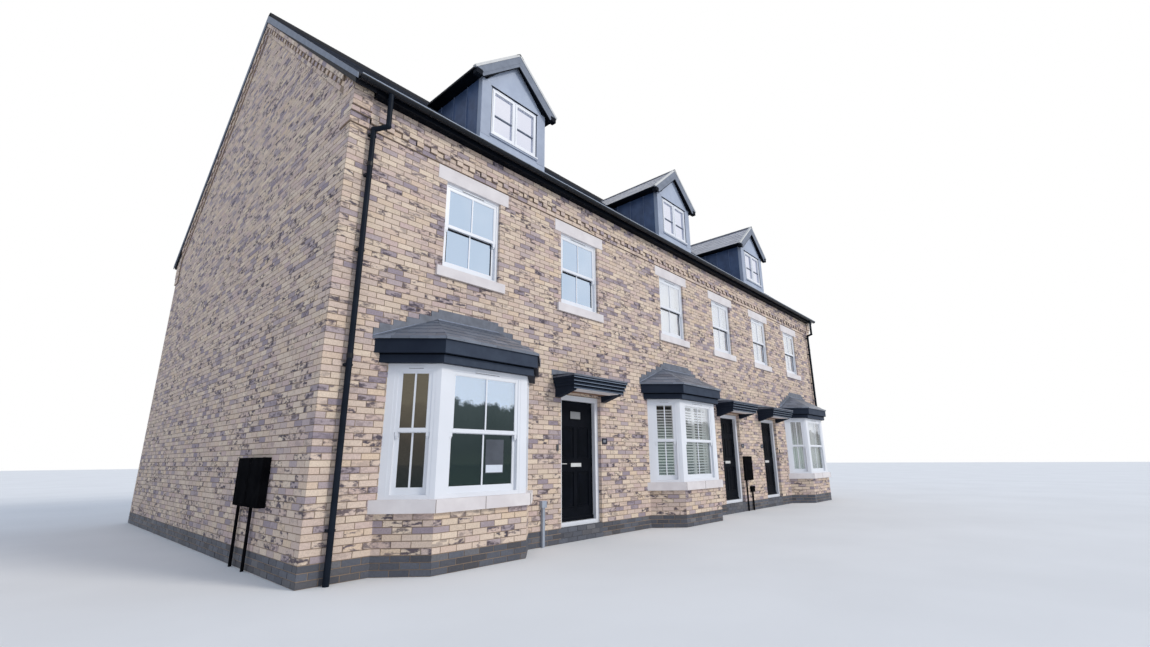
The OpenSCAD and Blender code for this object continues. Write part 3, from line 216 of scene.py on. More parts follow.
# Light and floor
SUN_STRENGTH, SUN_SPREAD, SUN_COLOUR = 1.5, 16, (1.0, 0.95, 0.88)
SUN_AIM = (-0.35, 0.85, -0.55)
FILL_COLOUR, FILL_STRENGTH = (0.84, 0.96, 1.18, 1.0), 0.62
FLOOR_REACH, FLOOR_Z = 150.0, -0.002

# Plain materials: colours as sRGB of 0 to 255, roughness, then the grain and the shine
Paint = namedtuple("Paint", "low high roughness scale fine strength specular metallic emission",
                   defaults=(6.0, 120.0, 0.15, 0.5, 0.0, 0.0))
PAINTS = {
    "black_board": Paint((13, 16, 22), (19, 23, 30), 0.4, 2.0, 90.0, 0.06, 0.03),
    "black_box": Paint((16, 16, 18), (23, 23, 25), 0.5, specular=0.0),
    "black_rainwater": Paint((14, 17, 22), (22, 25, 31), 0.35, 3.0, 150.0, 0.05, 0.25),
    # The blinds glow a little: painted light for the daylight in the rooms
    "glowing_blind_white": Paint((226, 226, 224), (236, 236, 234), 0.8, emission=0.25),
    "blockwork": Paint((168, 168, 164), (186, 186, 180), 0.95),
    "blue_brick_core": Paint((70, 72, 78), (90, 92, 98), 0.8),
    "bright_metal": Paint((208, 208, 206), (222, 222, 220), 0.16, metallic=1.0),
    # Painted highlight: lighter strips along the foot of each canopy step
    "canopy_highlight": Paint((94, 108, 126), (108, 122, 140), 0.5),
    "cast_stone": Paint((218, 211, 210), (231, 225, 223), 0.8, 3.0, 260.0, 0.25),
    "concrete": Paint((176, 172, 166), (192, 189, 182), 0.9),
    "dark_fascia": Paint((36, 42, 54), (42, 49, 61), 0.5, 2.0, 90.0, 0.04, 0.02),
    "door_bead": Paint((11, 14, 19), (15, 18, 25), 0.28, specular=0.02),
    "door_black": Paint((12, 15, 21), (17, 20, 27), 0.45, 8.0, 220.0, 0.12, 0.03),
    "dormer_cladding": Paint((166, 176, 194), (178, 188, 205), 0.7, 2.5, 120.0, 0.08),
    "dormer_seam": Paint((62, 82, 116), (77, 99, 136), 0.5, 4.0, 40.0, 0.12),
    "dormer_side": Paint((158, 167, 184), (170, 179, 195), 0.7, 2.5),
    "downpipe": Paint((22, 28, 37), (30, 37, 47), 0.4, 3.0, 150.0, 0.05, 0.05),
    # Black of the head drips, slots and barge ends, and of the painted shade lines round the
    # dormer windows and under the barges
    "drip_and_shade_black": Paint((20, 23, 30), (28, 32, 40), 0.6, specular=0.03),
    "duct_grey": Paint((146, 154, 166), (164, 172, 184), 0.6),
    # Lighter copy of dark_fascia for the bay fronts: painted sky reflection
    "fascia_front_lit": Paint((61, 68, 81), (67, 75, 88), 0.5, specular=0.02),
    "fitting_grey": Paint((58, 60, 66), (72, 74, 80), 0.5),
    "floor": Paint((234, 234, 233), (239, 239, 238), 0.9, 0.4, 8.0, 0.02),
    # Near black that paints the shadow under fascia boards and canopy steps
    "shadow_black": Paint((8, 10, 14), (13, 16, 21), 0.8, specular=0.0),
    # Painted shadow on the lower panes
    "pane_shadow": Paint((20, 24, 34), (28, 33, 44), 0.6, specular=0.2),
    # Pale grey of the gutter lip: painted highlight
    "gutter_lip_highlight": Paint((150, 160, 174), (170, 179, 192), 0.3),
    # Brown of brick in shade, on the rear board of each canopy soffit: painted shade
    "shaded_brick_board": Paint((120, 90, 70), (146, 112, 88), 0.8, 14.0),
    "lead": Paint((86, 92, 104), (106, 112, 125), 0.5, 9.0, 60.0, 0.3),
    # Pale lead along the fold: painted highlight
    "lead_fold_highlight": Paint((150, 160, 180), (168, 178, 196), 0.4),
    "pale_strip": Paint((200, 200, 198), (212, 212, 210), 0.6),
    "plaque": Paint((28, 32, 46), (34, 38, 53), 0.4, specular=0.2),
    "plaque_pale": Paint((108, 110, 118), (124, 126, 134), 0.5),
    "ridge_cap": Paint((84, 88, 98), (98, 102, 112), 0.7),
    "seam_light": Paint((96, 112, 142), (110, 126, 156), 0.5),
    "sheet_grey": Paint((60, 66, 76), (72, 78, 88), 0.6),
    "sheet_pale": Paint((206, 212, 222), (218, 224, 232), 0.6),
    "sill_joint": Paint((120, 108, 104), (136, 124, 118), 0.9),
    "slate_core": Paint((30, 32, 38), (38, 40, 46), 0.7, specular=0.2),
    "timber": Paint((176, 142, 98), (200, 168, 122), 0.7),
    "verge_grey": Paint((112, 120, 134), (124, 132, 146), 0.7),
    "white_frame": Paint((228, 230, 234), (234, 236, 240), 0.32, 1.2, 300.0, 0.04),
}
# Three colours, roughness and shine of each kind of slate
SLATES = {
    "slate": ((88, 95, 108), (100, 108, 122), (118, 126, 140), 0.36, 0.60),
    "dark_slate": ((56, 60, 70), (66, 71, 82), (80, 85, 96), 0.55, 0.2),
    # Dormer slates paler than the rest: partly their own grey, partly a painted sky sheen seen at
    # a grazing angle
    "sheen_pale_slate": ((138, 143, 160), (150, 155, 172), (162, 167, 182), 0.25, 0.9),
}
# Two colours of a painted sky reflection, and how opaque the pane is
PANES = {
    "window_glass": ((196, 214, 236), (212, 226, 244), 0.92),
    "blind_pane": ((236, 241, 250), (244, 247, 252), 0.74),
    "dormer_glass": ((226, 230, 246), (236, 238, 250), 0.95),
}
# Three colours of a painted skyline reflection from its foot up, the sky, and how opaque the pane
# is
SKYLINES = {
    "front_pane": ((62, 76, 72), (58, 70, 72), (74, 86, 88), (220, 236, 255), 0.72),
    "side_pane": ((64, 68, 66), (78, 75, 70), (106, 100, 89), (116, 110, 97), 0.66),
    "screened_front": ((112, 134, 132), (120, 140, 140), (96, 108, 110), (236, 242, 250), 0.30),
    "screened_side": ((124, 152, 146), (120, 146, 140), (72, 82, 82), (46, 50, 54), 0.26),
}
# Materials of the CAD nodes, where they aren't named like the slot
SLOT_LOOKS = {"brick": "mortar", "plinth_brick": "blue_brick_core", "roof_slate": "slate_core"}
NODE_LOOKS = {"dormer_glass": "dormer_glass", "soffit_fascias": "black_board",
              "dormer_roofs": "black_board", "dormer_bargeboards": "verge_grey",
              "downpipes": "downpipe"}

# Pieces of the scene: seed of the random tones, material, slot where that isn't named like
# the material, body, and CAD nodes replaced
Piece = namedtuple("Piece", "seed look slot body replaces", defaults=(None, "house_row", ()))
PIECES = {
    "brickwork_front": Piece(11, "buff_brick", "brick"),
    "brickwork_rear": Piece(12, "buff_brick", "brick"),
    "brickwork_left": Piece(13, "buff_brick", "brick"),
    "brickwork_right": Piece(14, "buff_brick", "brick"),
    "plinth_bricks": Piece(15, "blue_brick", "plinth_brick"),
    "brickwork_bays": Piece(16, "buff_brick", "brick"),
    "brickwork_eaves": Piece(17, "buff_brick", "brick"),
    "brickwork_verges": Piece(18, "buff_brick", "brick"),
    "slates_front": Piece(21, "dark_slate", "roof_slate"),
    "slates_rear": Piece(22, "dark_slate", "roof_slate"),
    "slates_bays": Piece(23, "slate", "roof_slate"),
    "slates_dormers": Piece(24, "sheen_pale_slate", "roof_slate"),
    "sash_bars_walls": Piece(31, "white_frame"),
    "sash_bars_bays": Piece(31, "white_frame"),
    "vent_slots": Piece(32, "fitting_grey"),
    "blinds": Piece(33, "glowing_blind_white", "white_frame"),
    "bay_front_panes": Piece(34, "front_pane", "window_glass", replaces=["bay_glass"]),
    "bay_side_panes": Piece(35, "side_pane", "window_glass", replaces=["bay_glass"]),
    "screened_front_panes": Piece(36, "screened_front", "window_glass", replaces=["bay_glass"]),
    "screened_side_panes": Piece(37, "screened_side", "window_glass", replaces=["bay_glass"]),
    "blind_panes": Piece(38, "blind_pane", "window_glass", replaces=["window_glass"]),
    "window_panes": Piece(39, "window_glass", replaces=["window_glass"]),
    "pane_shadows": Piece(45, "pane_shadow", "fitting_grey"),
    "window_sheet": Piece(46, "sheet_grey", "fitting_grey"),
    "window_sheet_foot": Piece(47, "sheet_pale", "white_frame"),
    "bay_lead": Piece(41, "lead", replaces=["bay_flashings"]),
    "bay_lead_fold_highlights": Piece(48, "lead_fold_highlight", "lead"),
    "sill_joints": Piece(42, "sill_joint", "cast_stone"),
    "fascia_lit_boards": Piece(25, "fascia_front_lit", "dark_fascia"),
    "canopy_lead": Piece(43, "lead"),
    "canopy_boards": Piece(44, "cast_stone"),
    "canopy_shaded_boards": Piece(40, "shaded_brick_board", "timber"),
    "painted_shadow_strips": Piece(27, "shadow_black", "dark_fascia"),
    "canopy_highlights": Piece(49, "canopy_highlight", "dark_fascia"),
    "door_light": Piece(55, "frosted_light", "window_glass", "door_1"),
    "rear_door_panels": Piece(57, "white_frame"),
    "meter_box_rims": Piece(58, "black_box"),
    "bell_pushes": Piece(59, "fitting_grey"),
    "plaque_faces": Piece(29, "plaque", "fitting_grey"),
    "plaque_centres": Piece(26, "plaque_pale", "fitting_grey"),
    "service_duct_cover": Piece(28, "duct_grey", "fitting_grey"),
    "dormer_verge_strips": Piece(60, "pale_strip", "verge_grey"),
    "dormer_boards": Piece(61, "dormer_side", "dormer_cladding"),
    "dormer_barges": Piece(65, "verge_grey"),
    "dormer_ridge_caps": Piece(66, "ridge_cap", "verge_grey"),
    "dormer_seams": Piece(62, "seam_light", "dormer_seam"),
    "dormer_window_trim": Piece(63, "white_frame"),
    "dormer_drips_and_shade_lines": Piece(64, "drip_and_shade_black", "fitting_grey"),
    "gutter_fittings": Piece(71, "black_rainwater"),
    "gutter_lip_highlights": Piece(72, "gutter_lip_highlight", "black_rainwater"),
    "ridge_joints": Piece(73, "slate", "roof_slate"),
}
for i in HOUSES:
    door = "door_%d" % (i + 1)
    PIECES[door + "_panels"] = Piece(50 + i, "door_bead", "door_black", door)
    PIECES[door + "_weather_bar"] = Piece(56, "door_black", body=door)


def at(house, u):
    """X of a point that lies u from the bay side of a house."""
    return X_LEFT + house * HOUSE_W + (u if HAND[house] > 0 else HOUSE_W - u)


BAYS = [at(i, BAY_C) for i in HOUSES]
DOORS = [at(i, DOOR_C) for i in HOUSES]
DORMERS = [at(i, DORMER_C) for i in HOUSES]
WINDOWS = BAYS + DOORS


# Flat faces: a point, two directions along the face and its outward normal

Face = namedtuple("Face", "o u v n")


def face(o, u, n, v=(0, 0, 1)):
    return Face(Vector(o), Vector(u).normalized(), Vector(v).normalized(), Vector(n).normalized())


def front(x, y=Y_FRONT, z=0.0):
    """Face that looks at the street, its U running to the right."""
    return face((x, y, z), (1, 0, 0), (0, -1, 0))


def rear(x, y=Y_REAR, z=0.0):
    return face((x, y, z), (-1, 0, 0), (0, 1, 0))


def left(x, y=Y_FRONT, z=0.0):
    """Face that looks to the left end of the row, its U running to the street."""
    return face((x, y, z), (0, -1, 0), (-1, 0, 0))


def on(f, u, v, n=0.0):
    return f.o + f.u * u + f.v * v + f.n * n


def out(f, n):
    return Face(f.o + f.n * n, f.u, f.v, f.n)


FRONT, REAR, LEFT = front(X_LEFT), rear(X_RIGHT), left(X_LEFT, Y_REAR)
RIGHT = face((X_RIGHT, Y_FRONT, 0), (0, 1, 0), (1, 0, 0))
BOX_SIDES = [(4, 5, 6, 7), (0, 1, 5, 4), (1, 2, 6, 5), (2, 3, 7, 6), (3, 0, 4, 7)]


class Shape:
    """Vertices, faces and a random tone for each face, turned into one piece."""

    def __init__(self, seed):
        self.verts, self.faces, self.tones = [], [], []
        self.rng = random.Random(seed)

    def add(self, points, faces, tone=None):
        tone = tone or tuple(self.rng.random() for _ in range(3))
        base = len(self.verts)
        self.verts += points
        self.faces += [[base + k for k in f] for f in faces]
        self.tones += [tone] * len(faces)

    def block(self, f, u, v, n, tone=None, back=False):
        """Box on a face from (u0, v0, n0) to (u1, v1, n1), open behind unless back is set."""
        corners = [on(f, x, y, z) for z in n
                   for x, y in ((u[0], v[0]), (u[1], v[0]), (u[1], v[1]), (u[0], v[1]))]
        self.add(corners, BOX_SIDES + [(3, 2, 1, 0)] if back else BOX_SIDES, tone)

    def solid(self, f, u, v, n):
        """Box that is closed at its back."""
        self.block(f, u, v, n, back=True)

    def prism(self, f, outline, n):
        """Solid with an outline in (u, v) between two distances from the face."""
        k = len(outline)
        points = [on(f, x, y, z) for z in n for x, y in outline]
        sides = [(i, (i + 1) % k, (i + 1) % k + k, i + k) for i in range(k)]
        self.add(points, sides + [tuple(range(k, 2 * k)), tuple(range(k - 1, -1, -1))])

    def ring(self, f, u, v, w, n):
        """Raised border of width w inside a rectangle on a face."""
        (u0, u1), (v0, v1) = u, v
        self.solid(f, (u0, u1), (v0, v0 + w), n)
        self.solid(f, (u0, u1), (v1 - w, v1), n)
        self.solid(f, (u0, u0 + w), (v0 + w, v1 - w), n)
        self.solid(f, (u1 - w, u1), (v0 + w, v1 - w), n)

    def piece(self, name, material, slot, body, replaces):
        mesh = bpy.data.meshes.new(name)
        mesh.from_pydata(self.verts, [], self.faces)
        mesh.update()
        tones = mesh.attributes.new("tone", "FLOAT_VECTOR", "FACE")
        tones.data.foreach_set("vector", [c for t in self.tones for c in t])
        mesh.materials.append(material)
        obj = show(name, mesh)
        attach(obj, body)
        if replaces:
            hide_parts(*replaces)


def circle(radius, sides, v=0.0):
    """Outline of a round bar or button, its middle at v."""
    turns = [2 * math.pi * j / sides for j in range(sides)]
    return [(radius * math.cos(t), v + radius * math.sin(t)) for t in turns]


SHAPES = {name: Shape(piece.seed) for name, piece in PIECES.items()}


def shapes(*names):
    return [SHAPES[name] for name in names]


# Materials

SKYLINE_LOW, SKYLINE_HIGH, SKYLINE_ROUGH = 1.30, 2.75, 0.60
TONE_SHIFT = 31.0
SPECULAR = "Specular IOR Level"


def linear(colour):
    """Linear RGBA of a grey level, of sRGB from 0 to 255, or of linear RGBA itself."""
    if isinstance(colour, float):
        return (colour, colour, colour, 1.0)
    if len(colour) == 4:
        return colour
    levels = [c / 255 for c in colour]
    return tuple(c / 12.92 if c <= 0.04045 else ((c + 0.055) / 1.055) ** 2.4
                 for c in levels) + (1.0,)


class Nodes:
    """Short calls that build the nodes of one material or world."""

    def __init__(self, owner):
        self.owner = owner
        owner.use_nodes = True
        self.tree = owner.node_tree

    def feed(self, node, inputs):
        """Sets or links the inputs of a node."""
        for key, value in inputs.items():
            if isinstance(value, bpy.types.NodeSocket):
                self.tree.links.new(value, node.inputs[key])
            else:
                node.inputs[key].default_value = value

    def node(self, kind, inputs=None, **settings):
        node = self.tree.nodes.new("ShaderNode" + kind)
        for key, value in settings.items():
            setattr(node, key, value)
        self.feed(node, inputs or {})
        return node

    def place(self, scale=(1, 1, 1), tone=None):
        """Object coordinates, stretched by scale and shifted by a tone for each brick."""
        coords = self.node("TexCoord").outputs["Object"]
        if tone:
            shift = self.node("VectorMath", {0: tone, "Scale": TONE_SHIFT}, operation="SCALE")
            coords = self.node("VectorMath", {0: coords, 1: shift.outputs[0]},
                               operation="ADD").outputs[0]
        return self.node("Mapping", {"Vector": coords, "Scale": scale}).outputs["Vector"]

    def noise(self, vector, scale, detail=3.0, roughness=0.55):
        return self.node("TexNoise", {"Vector": vector, "Scale": scale, "Detail": detail,
                                      "Roughness": roughness}).outputs["Fac"]

    def ramp(self, value, *stops):
        """Colours at positions from 0 to 1."""
        ramp = self.node("ValToRGB", {"Fac": value})
        elements = ramp.color_ramp.elements
        while len(elements) < len(stops):
            elements.new(0.5)
        for element, (position, colour) in zip(elements, stops):
            element.position = position
            element.color = linear(colour)
        return ramp.outputs["Color"]

    def mix(self, factor, a, b, kind="MIX"):
        return self.node("Mix", {0: factor, 6: a, 7: b}, data_type="RGBA",
                         blend_type=kind).outputs[2]

    def math(self, operation, *values):
        return self.node("Math", dict(enumerate(values)), operation=operation).outputs[0]

    def tone(self):
        return self.node("Attribute", attribute_name="tone").outputs["Vector"]

    def split(self, vector):
        return self.node("SeparateXYZ", {0: vector}).outputs

    def finish(self, colour, roughness, bump=None, strength=0.3, distance=0.003, more=None):
        inputs = {"Base Color": colour, "Roughness": roughness, **(more or {})}
        if bump:
            inputs["Normal"] = self.node("Bump", {"Height": bump, "Strength": strength,
                                                  "Distance": distance}).outputs["Normal"]
        self.feed(self.tree.nodes["Principled BSDF"], inputs)
        return self.owner


def brick_look(m):
    """Buff stock brick: creams, pinks and browns with purple-grey kiln smudges."""
    tone = m.tone()
    x, y, z = m.split(tone)
    base = m.ramp(x, (0.0, (222, 203, 181)), (0.22, (211, 190, 177)), (0.42, (231, 212, 190)),
                  (0.58, (204, 181, 175)), (0.72, (225, 202, 176)), (0.86, (188, 172, 172)),
                  (1.0, (154, 142, 151)))
    smears = m.noise(m.place((9.0, 9.0, 22.0), tone), 1.0, 3.0, 0.6)
    patch = m.ramp(smears, (0.47, 0.0), (0.60, 1.0))
    amount = m.ramp(y, (0.42, 0.0), (0.62, 0.45), (0.80, 1.0))
    dark = m.ramp(z, (0.0, (105, 95, 102)), (0.5, (76, 69, 80)), (1.0, (117, 104, 105)))
    stained = m.mix(m.math("MULTIPLY", patch, amount), base, dark)
    grain = m.noise(m.place((60, 60, 60), tone), 1.0, 4.0, 0.7)
    speck = m.ramp(grain, (0.30, (0.72, 0.70, 0.68, 1)), (0.62, (1.06, 1.05, 1.04, 1)))
    return m.finish(m.mix(0.75, stained, speck, "MULTIPLY"), 0.88, grain, 0.45, 0.004)


def plinth_look(m):
    """Blue-grey engineering brick."""
    tone = m.tone()
    base = m.ramp(m.split(tone)[0], (0.0, (74, 77, 86)), (0.5, (92, 96, 106)),
                  (0.8, (64, 64, 70)), (1.0, (108, 108, 112)))
    grain = m.noise(m.place((50, 50, 50), tone), 1.0)
    wear = m.ramp(grain, (0.3, 0.75), (0.7, 1.1))
    return m.finish(m.mix(0.8, base, wear, "MULTIPLY"), 0.62, grain, 0.3, 0.002)


def mortar_look(m):
    """Sand and cement mortar with fine sand grain."""
    grain = m.noise(m.place(), 190.0, 3.0, 0.7)
    light = m.ramp(m.noise(m.place(), 1.7, 2.0), (0.3, (140, 121, 104)), (0.7, (157, 138, 120)))
    speck = m.ramp(grain, (0.3, 0.8), (0.7, 1.05))
    return m.finish(m.mix(0.6, light, speck, "MULTIPLY"), 0.95, grain, 0.5, 0.002)


def frosted_look(m):
    grain = m.noise(m.place(), 150.0, 2.0)
    return m.finish(m.ramp(grain, (0.3, (120, 122, 124)), (0.7, (142, 144, 144))), 0.35,
                    grain, 0.4, 0.002)


def plain_look(m, *values):
    """Plain material with a soft change of colour over the surface and a fine grain."""
    p = Paint(*values)
    coords = m.place()
    colour = m.ramp(m.noise(coords, p.scale), (0.35, p.low), (0.65, p.high))
    return m.finish(colour, p.roughness, m.noise(coords, p.fine), p.strength, 0.001,
                    {SPECULAR: p.specular, "Metallic": p.metallic,
                     "Emission Strength": p.emission})


def slate_look(m, low, middle, high, roughness, sheen):
    """Slates that differ a little from each other."""
    tone = m.tone()
    base = m.ramp(m.split(tone)[0], (0.0, low), (0.5, middle), (1.0, high))
    grain = m.noise(m.place((14, 14, 40), tone), 1.0, 4.0, 0.65)
    cloud = m.ramp(grain, (0.3, (0.78, 0.78, 0.80, 1)), (0.7, (1.12, 1.12, 1.10, 1)))
    return m.finish(m.mix(0.8, base, cloud, "MULTIPLY"), roughness, grain, 0.35,
                    more={SPECULAR: sheen})


def pane_look(m, low, high, alpha):
    """Sealed unit with a painted reflection of part of the sky, over a dim room."""
    tint = m.ramp(m.noise(m.place(), 0.8, 2.0), (0.35, low), (0.65, high))
    return m.finish(tint, 0.03, more={"Metallic": 1.0, "Alpha": alpha})


def skyline_look(m, low, middle, high, sky, alpha):
    """Ground floor glass with a painted reflection: pale sky at the top, a dark ragged skyline
    lower down.
    """
    coords = m.place()
    ragged = m.math("MULTIPLY_ADD", m.noise(coords, 2.4, 5.0, 0.65), SKYLINE_ROUGH,
                    m.split(coords)[2])
    level = m.node("MapRange", {"Value": ragged, "From Min": SKYLINE_LOW,
                                "From Max": SKYLINE_HIGH}).outputs["Result"]
    tint = m.ramp(level, (0.0, low), (0.30, middle), (0.66, high), (0.70, sky))
    return m.finish(tint, 0.03, more={"Metallic": 1.0, "Alpha": alpha})


LOOKS = {"buff_brick": (brick_look,), "blue_brick": (plinth_look,), "mortar": (mortar_look,),
         "frosted_light": (frosted_look,)}
for table, maker in ((PAINTS, plain_look), (SLATES, slate_look), (PANES, pane_look),
                     (SKYLINES, skyline_look)):
    LOOKS.update({name: (maker, *values) for name, values in table.items()})
MADE = {}


def look(name):
    """The material of that name, made when it is first asked for."""
    if name not in MADE:
        maker, *values = LOOKS[name]
        MADE[name] = maker(Nodes(bpy.data.materials.new(name)), *values)
    return MADE[name]


# Brick walls

Hole = namedtuple("Hole", "u0 u1 v0 v1 reveal")
Run = namedtuple("Run", "start end reveal_start reveal_end", defaults=(0.0, 0.0))


def hole(centre, width, v0, v1, reveal=0.0):
    return Hole(centre - width / 2, centre + width / 2, v0, v1, reveal)


def runs_of_course(start, end, holes, v0, v1):
    """Free stretches of a course between the holes that it meets."""
    runs = [Run(start, end)]
    for h in holes:
        if h.v1 <= v0 + TOUCH or h.v0 >= v1 - TOUCH:
            continue
        kept = []
        for r in runs:
            if h.u1 <= r.start or h.u0 >= r.end:
                kept.append(r)
                continue
            if h.u0 > r.start:
                kept.append(Run(r.start, h.u0, r.reveal_start, h.reveal))
            if h.u1 < r.end:
                kept.append(Run(h.u1, r.end, h.reveal, r.reveal_end))
        runs = kept
    return runs


def lay_course(shape, f, run, v, shift, corners=None):
    """One course of stretcher bond along a run, with headers at its corners."""
    k = math.floor((run.start - shift) / PITCH_U)
    while shift + k * PITCH_U < run.end - 0.001:
        u0, u1 = shift + k * PITCH_U, shift + (k + 1) * PITCH_U
        k += 1
        at_start, at_end = u0 <= run.start + NEAR_END, u1 >= run.end - NEAR_END
        u0 = run.start if at_start else u0 + JOINT / 2
        u1 = run.end if at_end else u1 - JOINT / 2
        if u1 - u0 < MIN_BRICK:
            continue
        proud = PROUD + shape.rng.uniform(-PROUD_JITTER, PROUD_JITTER)
        back, tone = 0.0, None
        if at_start and run.reveal_start:
            back, u0 = run.reveal_start, u0 - OVERLAP
        if at_end and run.reveal_end:
            back, u1 = max(back, run.reveal_end), u1 + OVERLAP
        if corners and at_start and run.start == corners[0]:
            u0, proud, tone = u0 - PROUD, PROUD, corner_tone(f, 0, v)
        if corners and at_end and run.end == corners[1]:
            u1, proud, tone = u1 + PROUD, PROUD, corner_tone(f, 1, v)
        shape.block(f, (u0, u1), (v + JOINT / 2, v + COURSE - JOINT / 2), (-back, proud), tone)


def corner_tone(f, end, v):
    """The same tone for both faces of a brick at a corner of the row."""
    corner = on(f, ROW_L if f.u.x and end else DEPTH * end, 0)
    rng = random.Random(round(corner.x * 7 + corner.y * 31) * 1000 + round(v / COURSE))
    return tuple(rng.random() for _ in range(3))


def lay_wall(shape, f, length, courses, holes=(), limit=None, shift=0.0, corners=True):
    """Courses of a wall face; limit(v) gives the free length of a course under a slope."""
    for k in courses:
        v = k * COURSE
        start, end = limit(v + COURSE) if limit else (0.0, length)
        if end - start < MIN_COURSE:
            continue
        odd = k % 2 * PITCH_U / 2
        for run in runs_of_course(start, end, holes, v, v + COURSE):
            lay_course(shape, f, run, v, shift + odd, (0.0, length) if corners else None)


def window_holes(centres, sill_z):
    """Hole, sill and lintel of each window, in whole courses."""
    holes = []
    head = sill_z + WINDOW_H
    for c in centres:
        holes += [hole(c, WINDOW_W, sill_z, head, WINDOW_SET),
                  hole(c, WINDOW_W + 2 * SILL_EAR, sill_z - SILL_COURSES * COURSE, sill_z),
                  hole(c, WINDOW_W + 2 * LINTEL_EAR, head, head + LINTEL_COURSES * COURSE)]
    return holes


def front_holes():
    bays = [hole(x - X_LEFT, BAY_OPENING_W, 0, BAY_HEAD_Z) for x in BAYS]
    return window_holes([x - X_LEFT for x in WINDOWS], SILL_Z) + bays + door_holes(X_LEFT)


def rear_holes():
    holes = window_holes([X_RIGHT - x for x in WINDOWS], SILL_Z)
    holes += window_holes([X_RIGHT - x for x in BAYS], REAR_SILL_Z)
    holes += [hole(X_RIGHT - x, DOORWAY_W + 2 * LINTEL_EAR, DOORWAY_Z,
                   DOORWAY_Z + LINTEL_COURSES * COURSE) for x in DOORS]
    return holes + door_holes(X_RIGHT)


def door_holes(end):
    return [hole(abs(x - end), DOORWAY_W, PLINTH_Z, DOORWAY_Z, DOOR_SET) for x in DOORS]


def gable_limit(v):
    """Free length of a gable course under the roof slope."""
    half = min(DEPTH / 2, TILE_Y - (v + ROOF_V - TILE_Z) / RISE)
    return DEPTH / 2 - half, DEPTH / 2 + half


def bay_faces(o, z=0.0):
    """Front, left and right face of each bay, o outside its brick, with their lengths."""
    faces = []
    half, reach = BAY_HALF + o * CANT, BAY_OUT + o
    for x in BAYS:
        y = Y_FRONT - reach
        faces += [(front(x - half, y, z), 2 * half),
                  (face((x - half - reach, Y_FRONT, z), (1, -1, 0), (-1, -1, 0)),
                   reach * math.sqrt(2)),
                  (face((x + half, y, z), (1, 1, 0), (1, -1, 0)), reach * math.sqrt(2))]
    return faces


def build_walls():
    foot, shift = range(PLINTH_COURSES), PITCH_U / 2 + DEPTH % PITCH_U
    plinth, bays = shapes("plinth_bricks", "brickwork_bays")
    for name, f, holes in (("front", FRONT, front_holes()), ("rear", REAR, rear_holes())):
        lay_wall(SHAPES["brickwork_" + name], f, ROW_L,
                 range(PLINTH_COURSES, STRING_COURSE + 2), holes)
        lay_wall(plinth, f, ROW_L, foot, holes)
    for name, f in (("left", LEFT), ("right", RIGHT)):
        lay_wall(SHAPES["brickwork_" + name], f, DEPTH, range(PLINTH_COURSES, GABLE_COURSES),
                 limit=gable_limit, shift=shift)
        lay_wall(plinth, f, DEPTH, foot, shift=shift)
    for f, length in bay_faces(0.0):
        lay_wall(plinth, f, length, foot, corners=False)
        lay_wall(bays, f, length, range(PLINTH_COURSES, round(BAY_SILL_Z / COURSE)),
                 corners=False)


def build_eaves_bricks():
    """String course, dentil headers, oversailing courses and corner kneelers."""
    shape = SHAPES["brickwork_eaves"]
    k0, k1 = STRING_COURSE, HEAD_COURSE
    inner, width = ROW_L - 2 * KNEELER_W, KNEELER_W + STRING_OUT
    count = math.floor((inner - DENTIL_W) / DENTIL_PITCH)
    first = ROW_L / 2 - count * DENTIL_PITCH / 2
    dentil_v = ((k0 + 1) * COURSE + JOINT / 2, (k0 + 2) * COURSE - JOINT / 2)
    for f in (FRONT, REAR):
        row = face(on(f, KNEELER_W, 0), f.u, f.n)
        lay_wall(shape, out(row, STRING_OUT), inner, [k0], corners=False)
        lay_wall(shape, out(row, EAVES_OUT), inner, range(k0 + 2, k1), corners=False)
        for k in range(count + 1):
            u = first + k * DENTIL_PITCH - DENTIL_W / 2
            shape.block(out(f, EAVES_OUT), (u, u + DENTIL_W), dentil_v, (-EAVES_OUT, PROUD))
        for k in range(count):
            u = first + k * DENTIL_PITCH + (DENTIL_W + JOINT) / 2
            shape.block(f, (u, u + DENTIL_PITCH - DENTIL_W - JOINT), dentil_v, (0, DENTIL_FILL))
        for start in (-STRING_OUT, ROW_L - KNEELER_W):
            end = face(on(f, start, 0), f.u, f.n)
            for stand, courses in ((STRING_OUT, [k0, k0 + 1]), (EAVES_OUT, [k0 + 2]),
                                   (KNEELER_OUT, range(k0 + 3, k1 + 1))):
                lay_wall(shape, out(end, stand), width, courses, corners=False)
    for f in (LEFT, RIGHT):
        lay_return(shape, f, 0, 1)
        lay_return(shape, f, DEPTH, -1)


def lay_return(shape, f, start, reach):
    """Side of a kneeler along the gable, under the roof slope."""
    outs = [STRING_OUT, STRING_OUT, EAVES_OUT] + [KNEELER_OUT] * 8
    for k, stand in enumerate(outs):
        v = (STRING_COURSE + k) * COURSE
        far = start + reach * RETURN_W
        slope = DEPTH / 2 - reach * (TILE_Y - (v + COURSE + ROOF_V - TILE_Z) / RISE)
        near = start - reach * stand
        if (near - slope) * reach < 0:
            near = slope
        if (far - near) * reach < MIN_COURSE:
            break
        lay_course(shape, out(f, STRING_OUT), Run(min(near, far), max(near, far)), v,
                   near + k % 2 * PITCH_U / 2)


def rake(f, side, drop):
    """Face of a gable whose U runs down the roof slope from the ridge, drop below it."""
    along = Vector((0, side * COS, -SIN))
    down = Vector((0, -side * SIN, -COS))
    ridge = Vector((f.o.x, 0, RIDGE_Z - ROOF_V)) + down * drop
    return Face(ridge, along, -down, f.n)


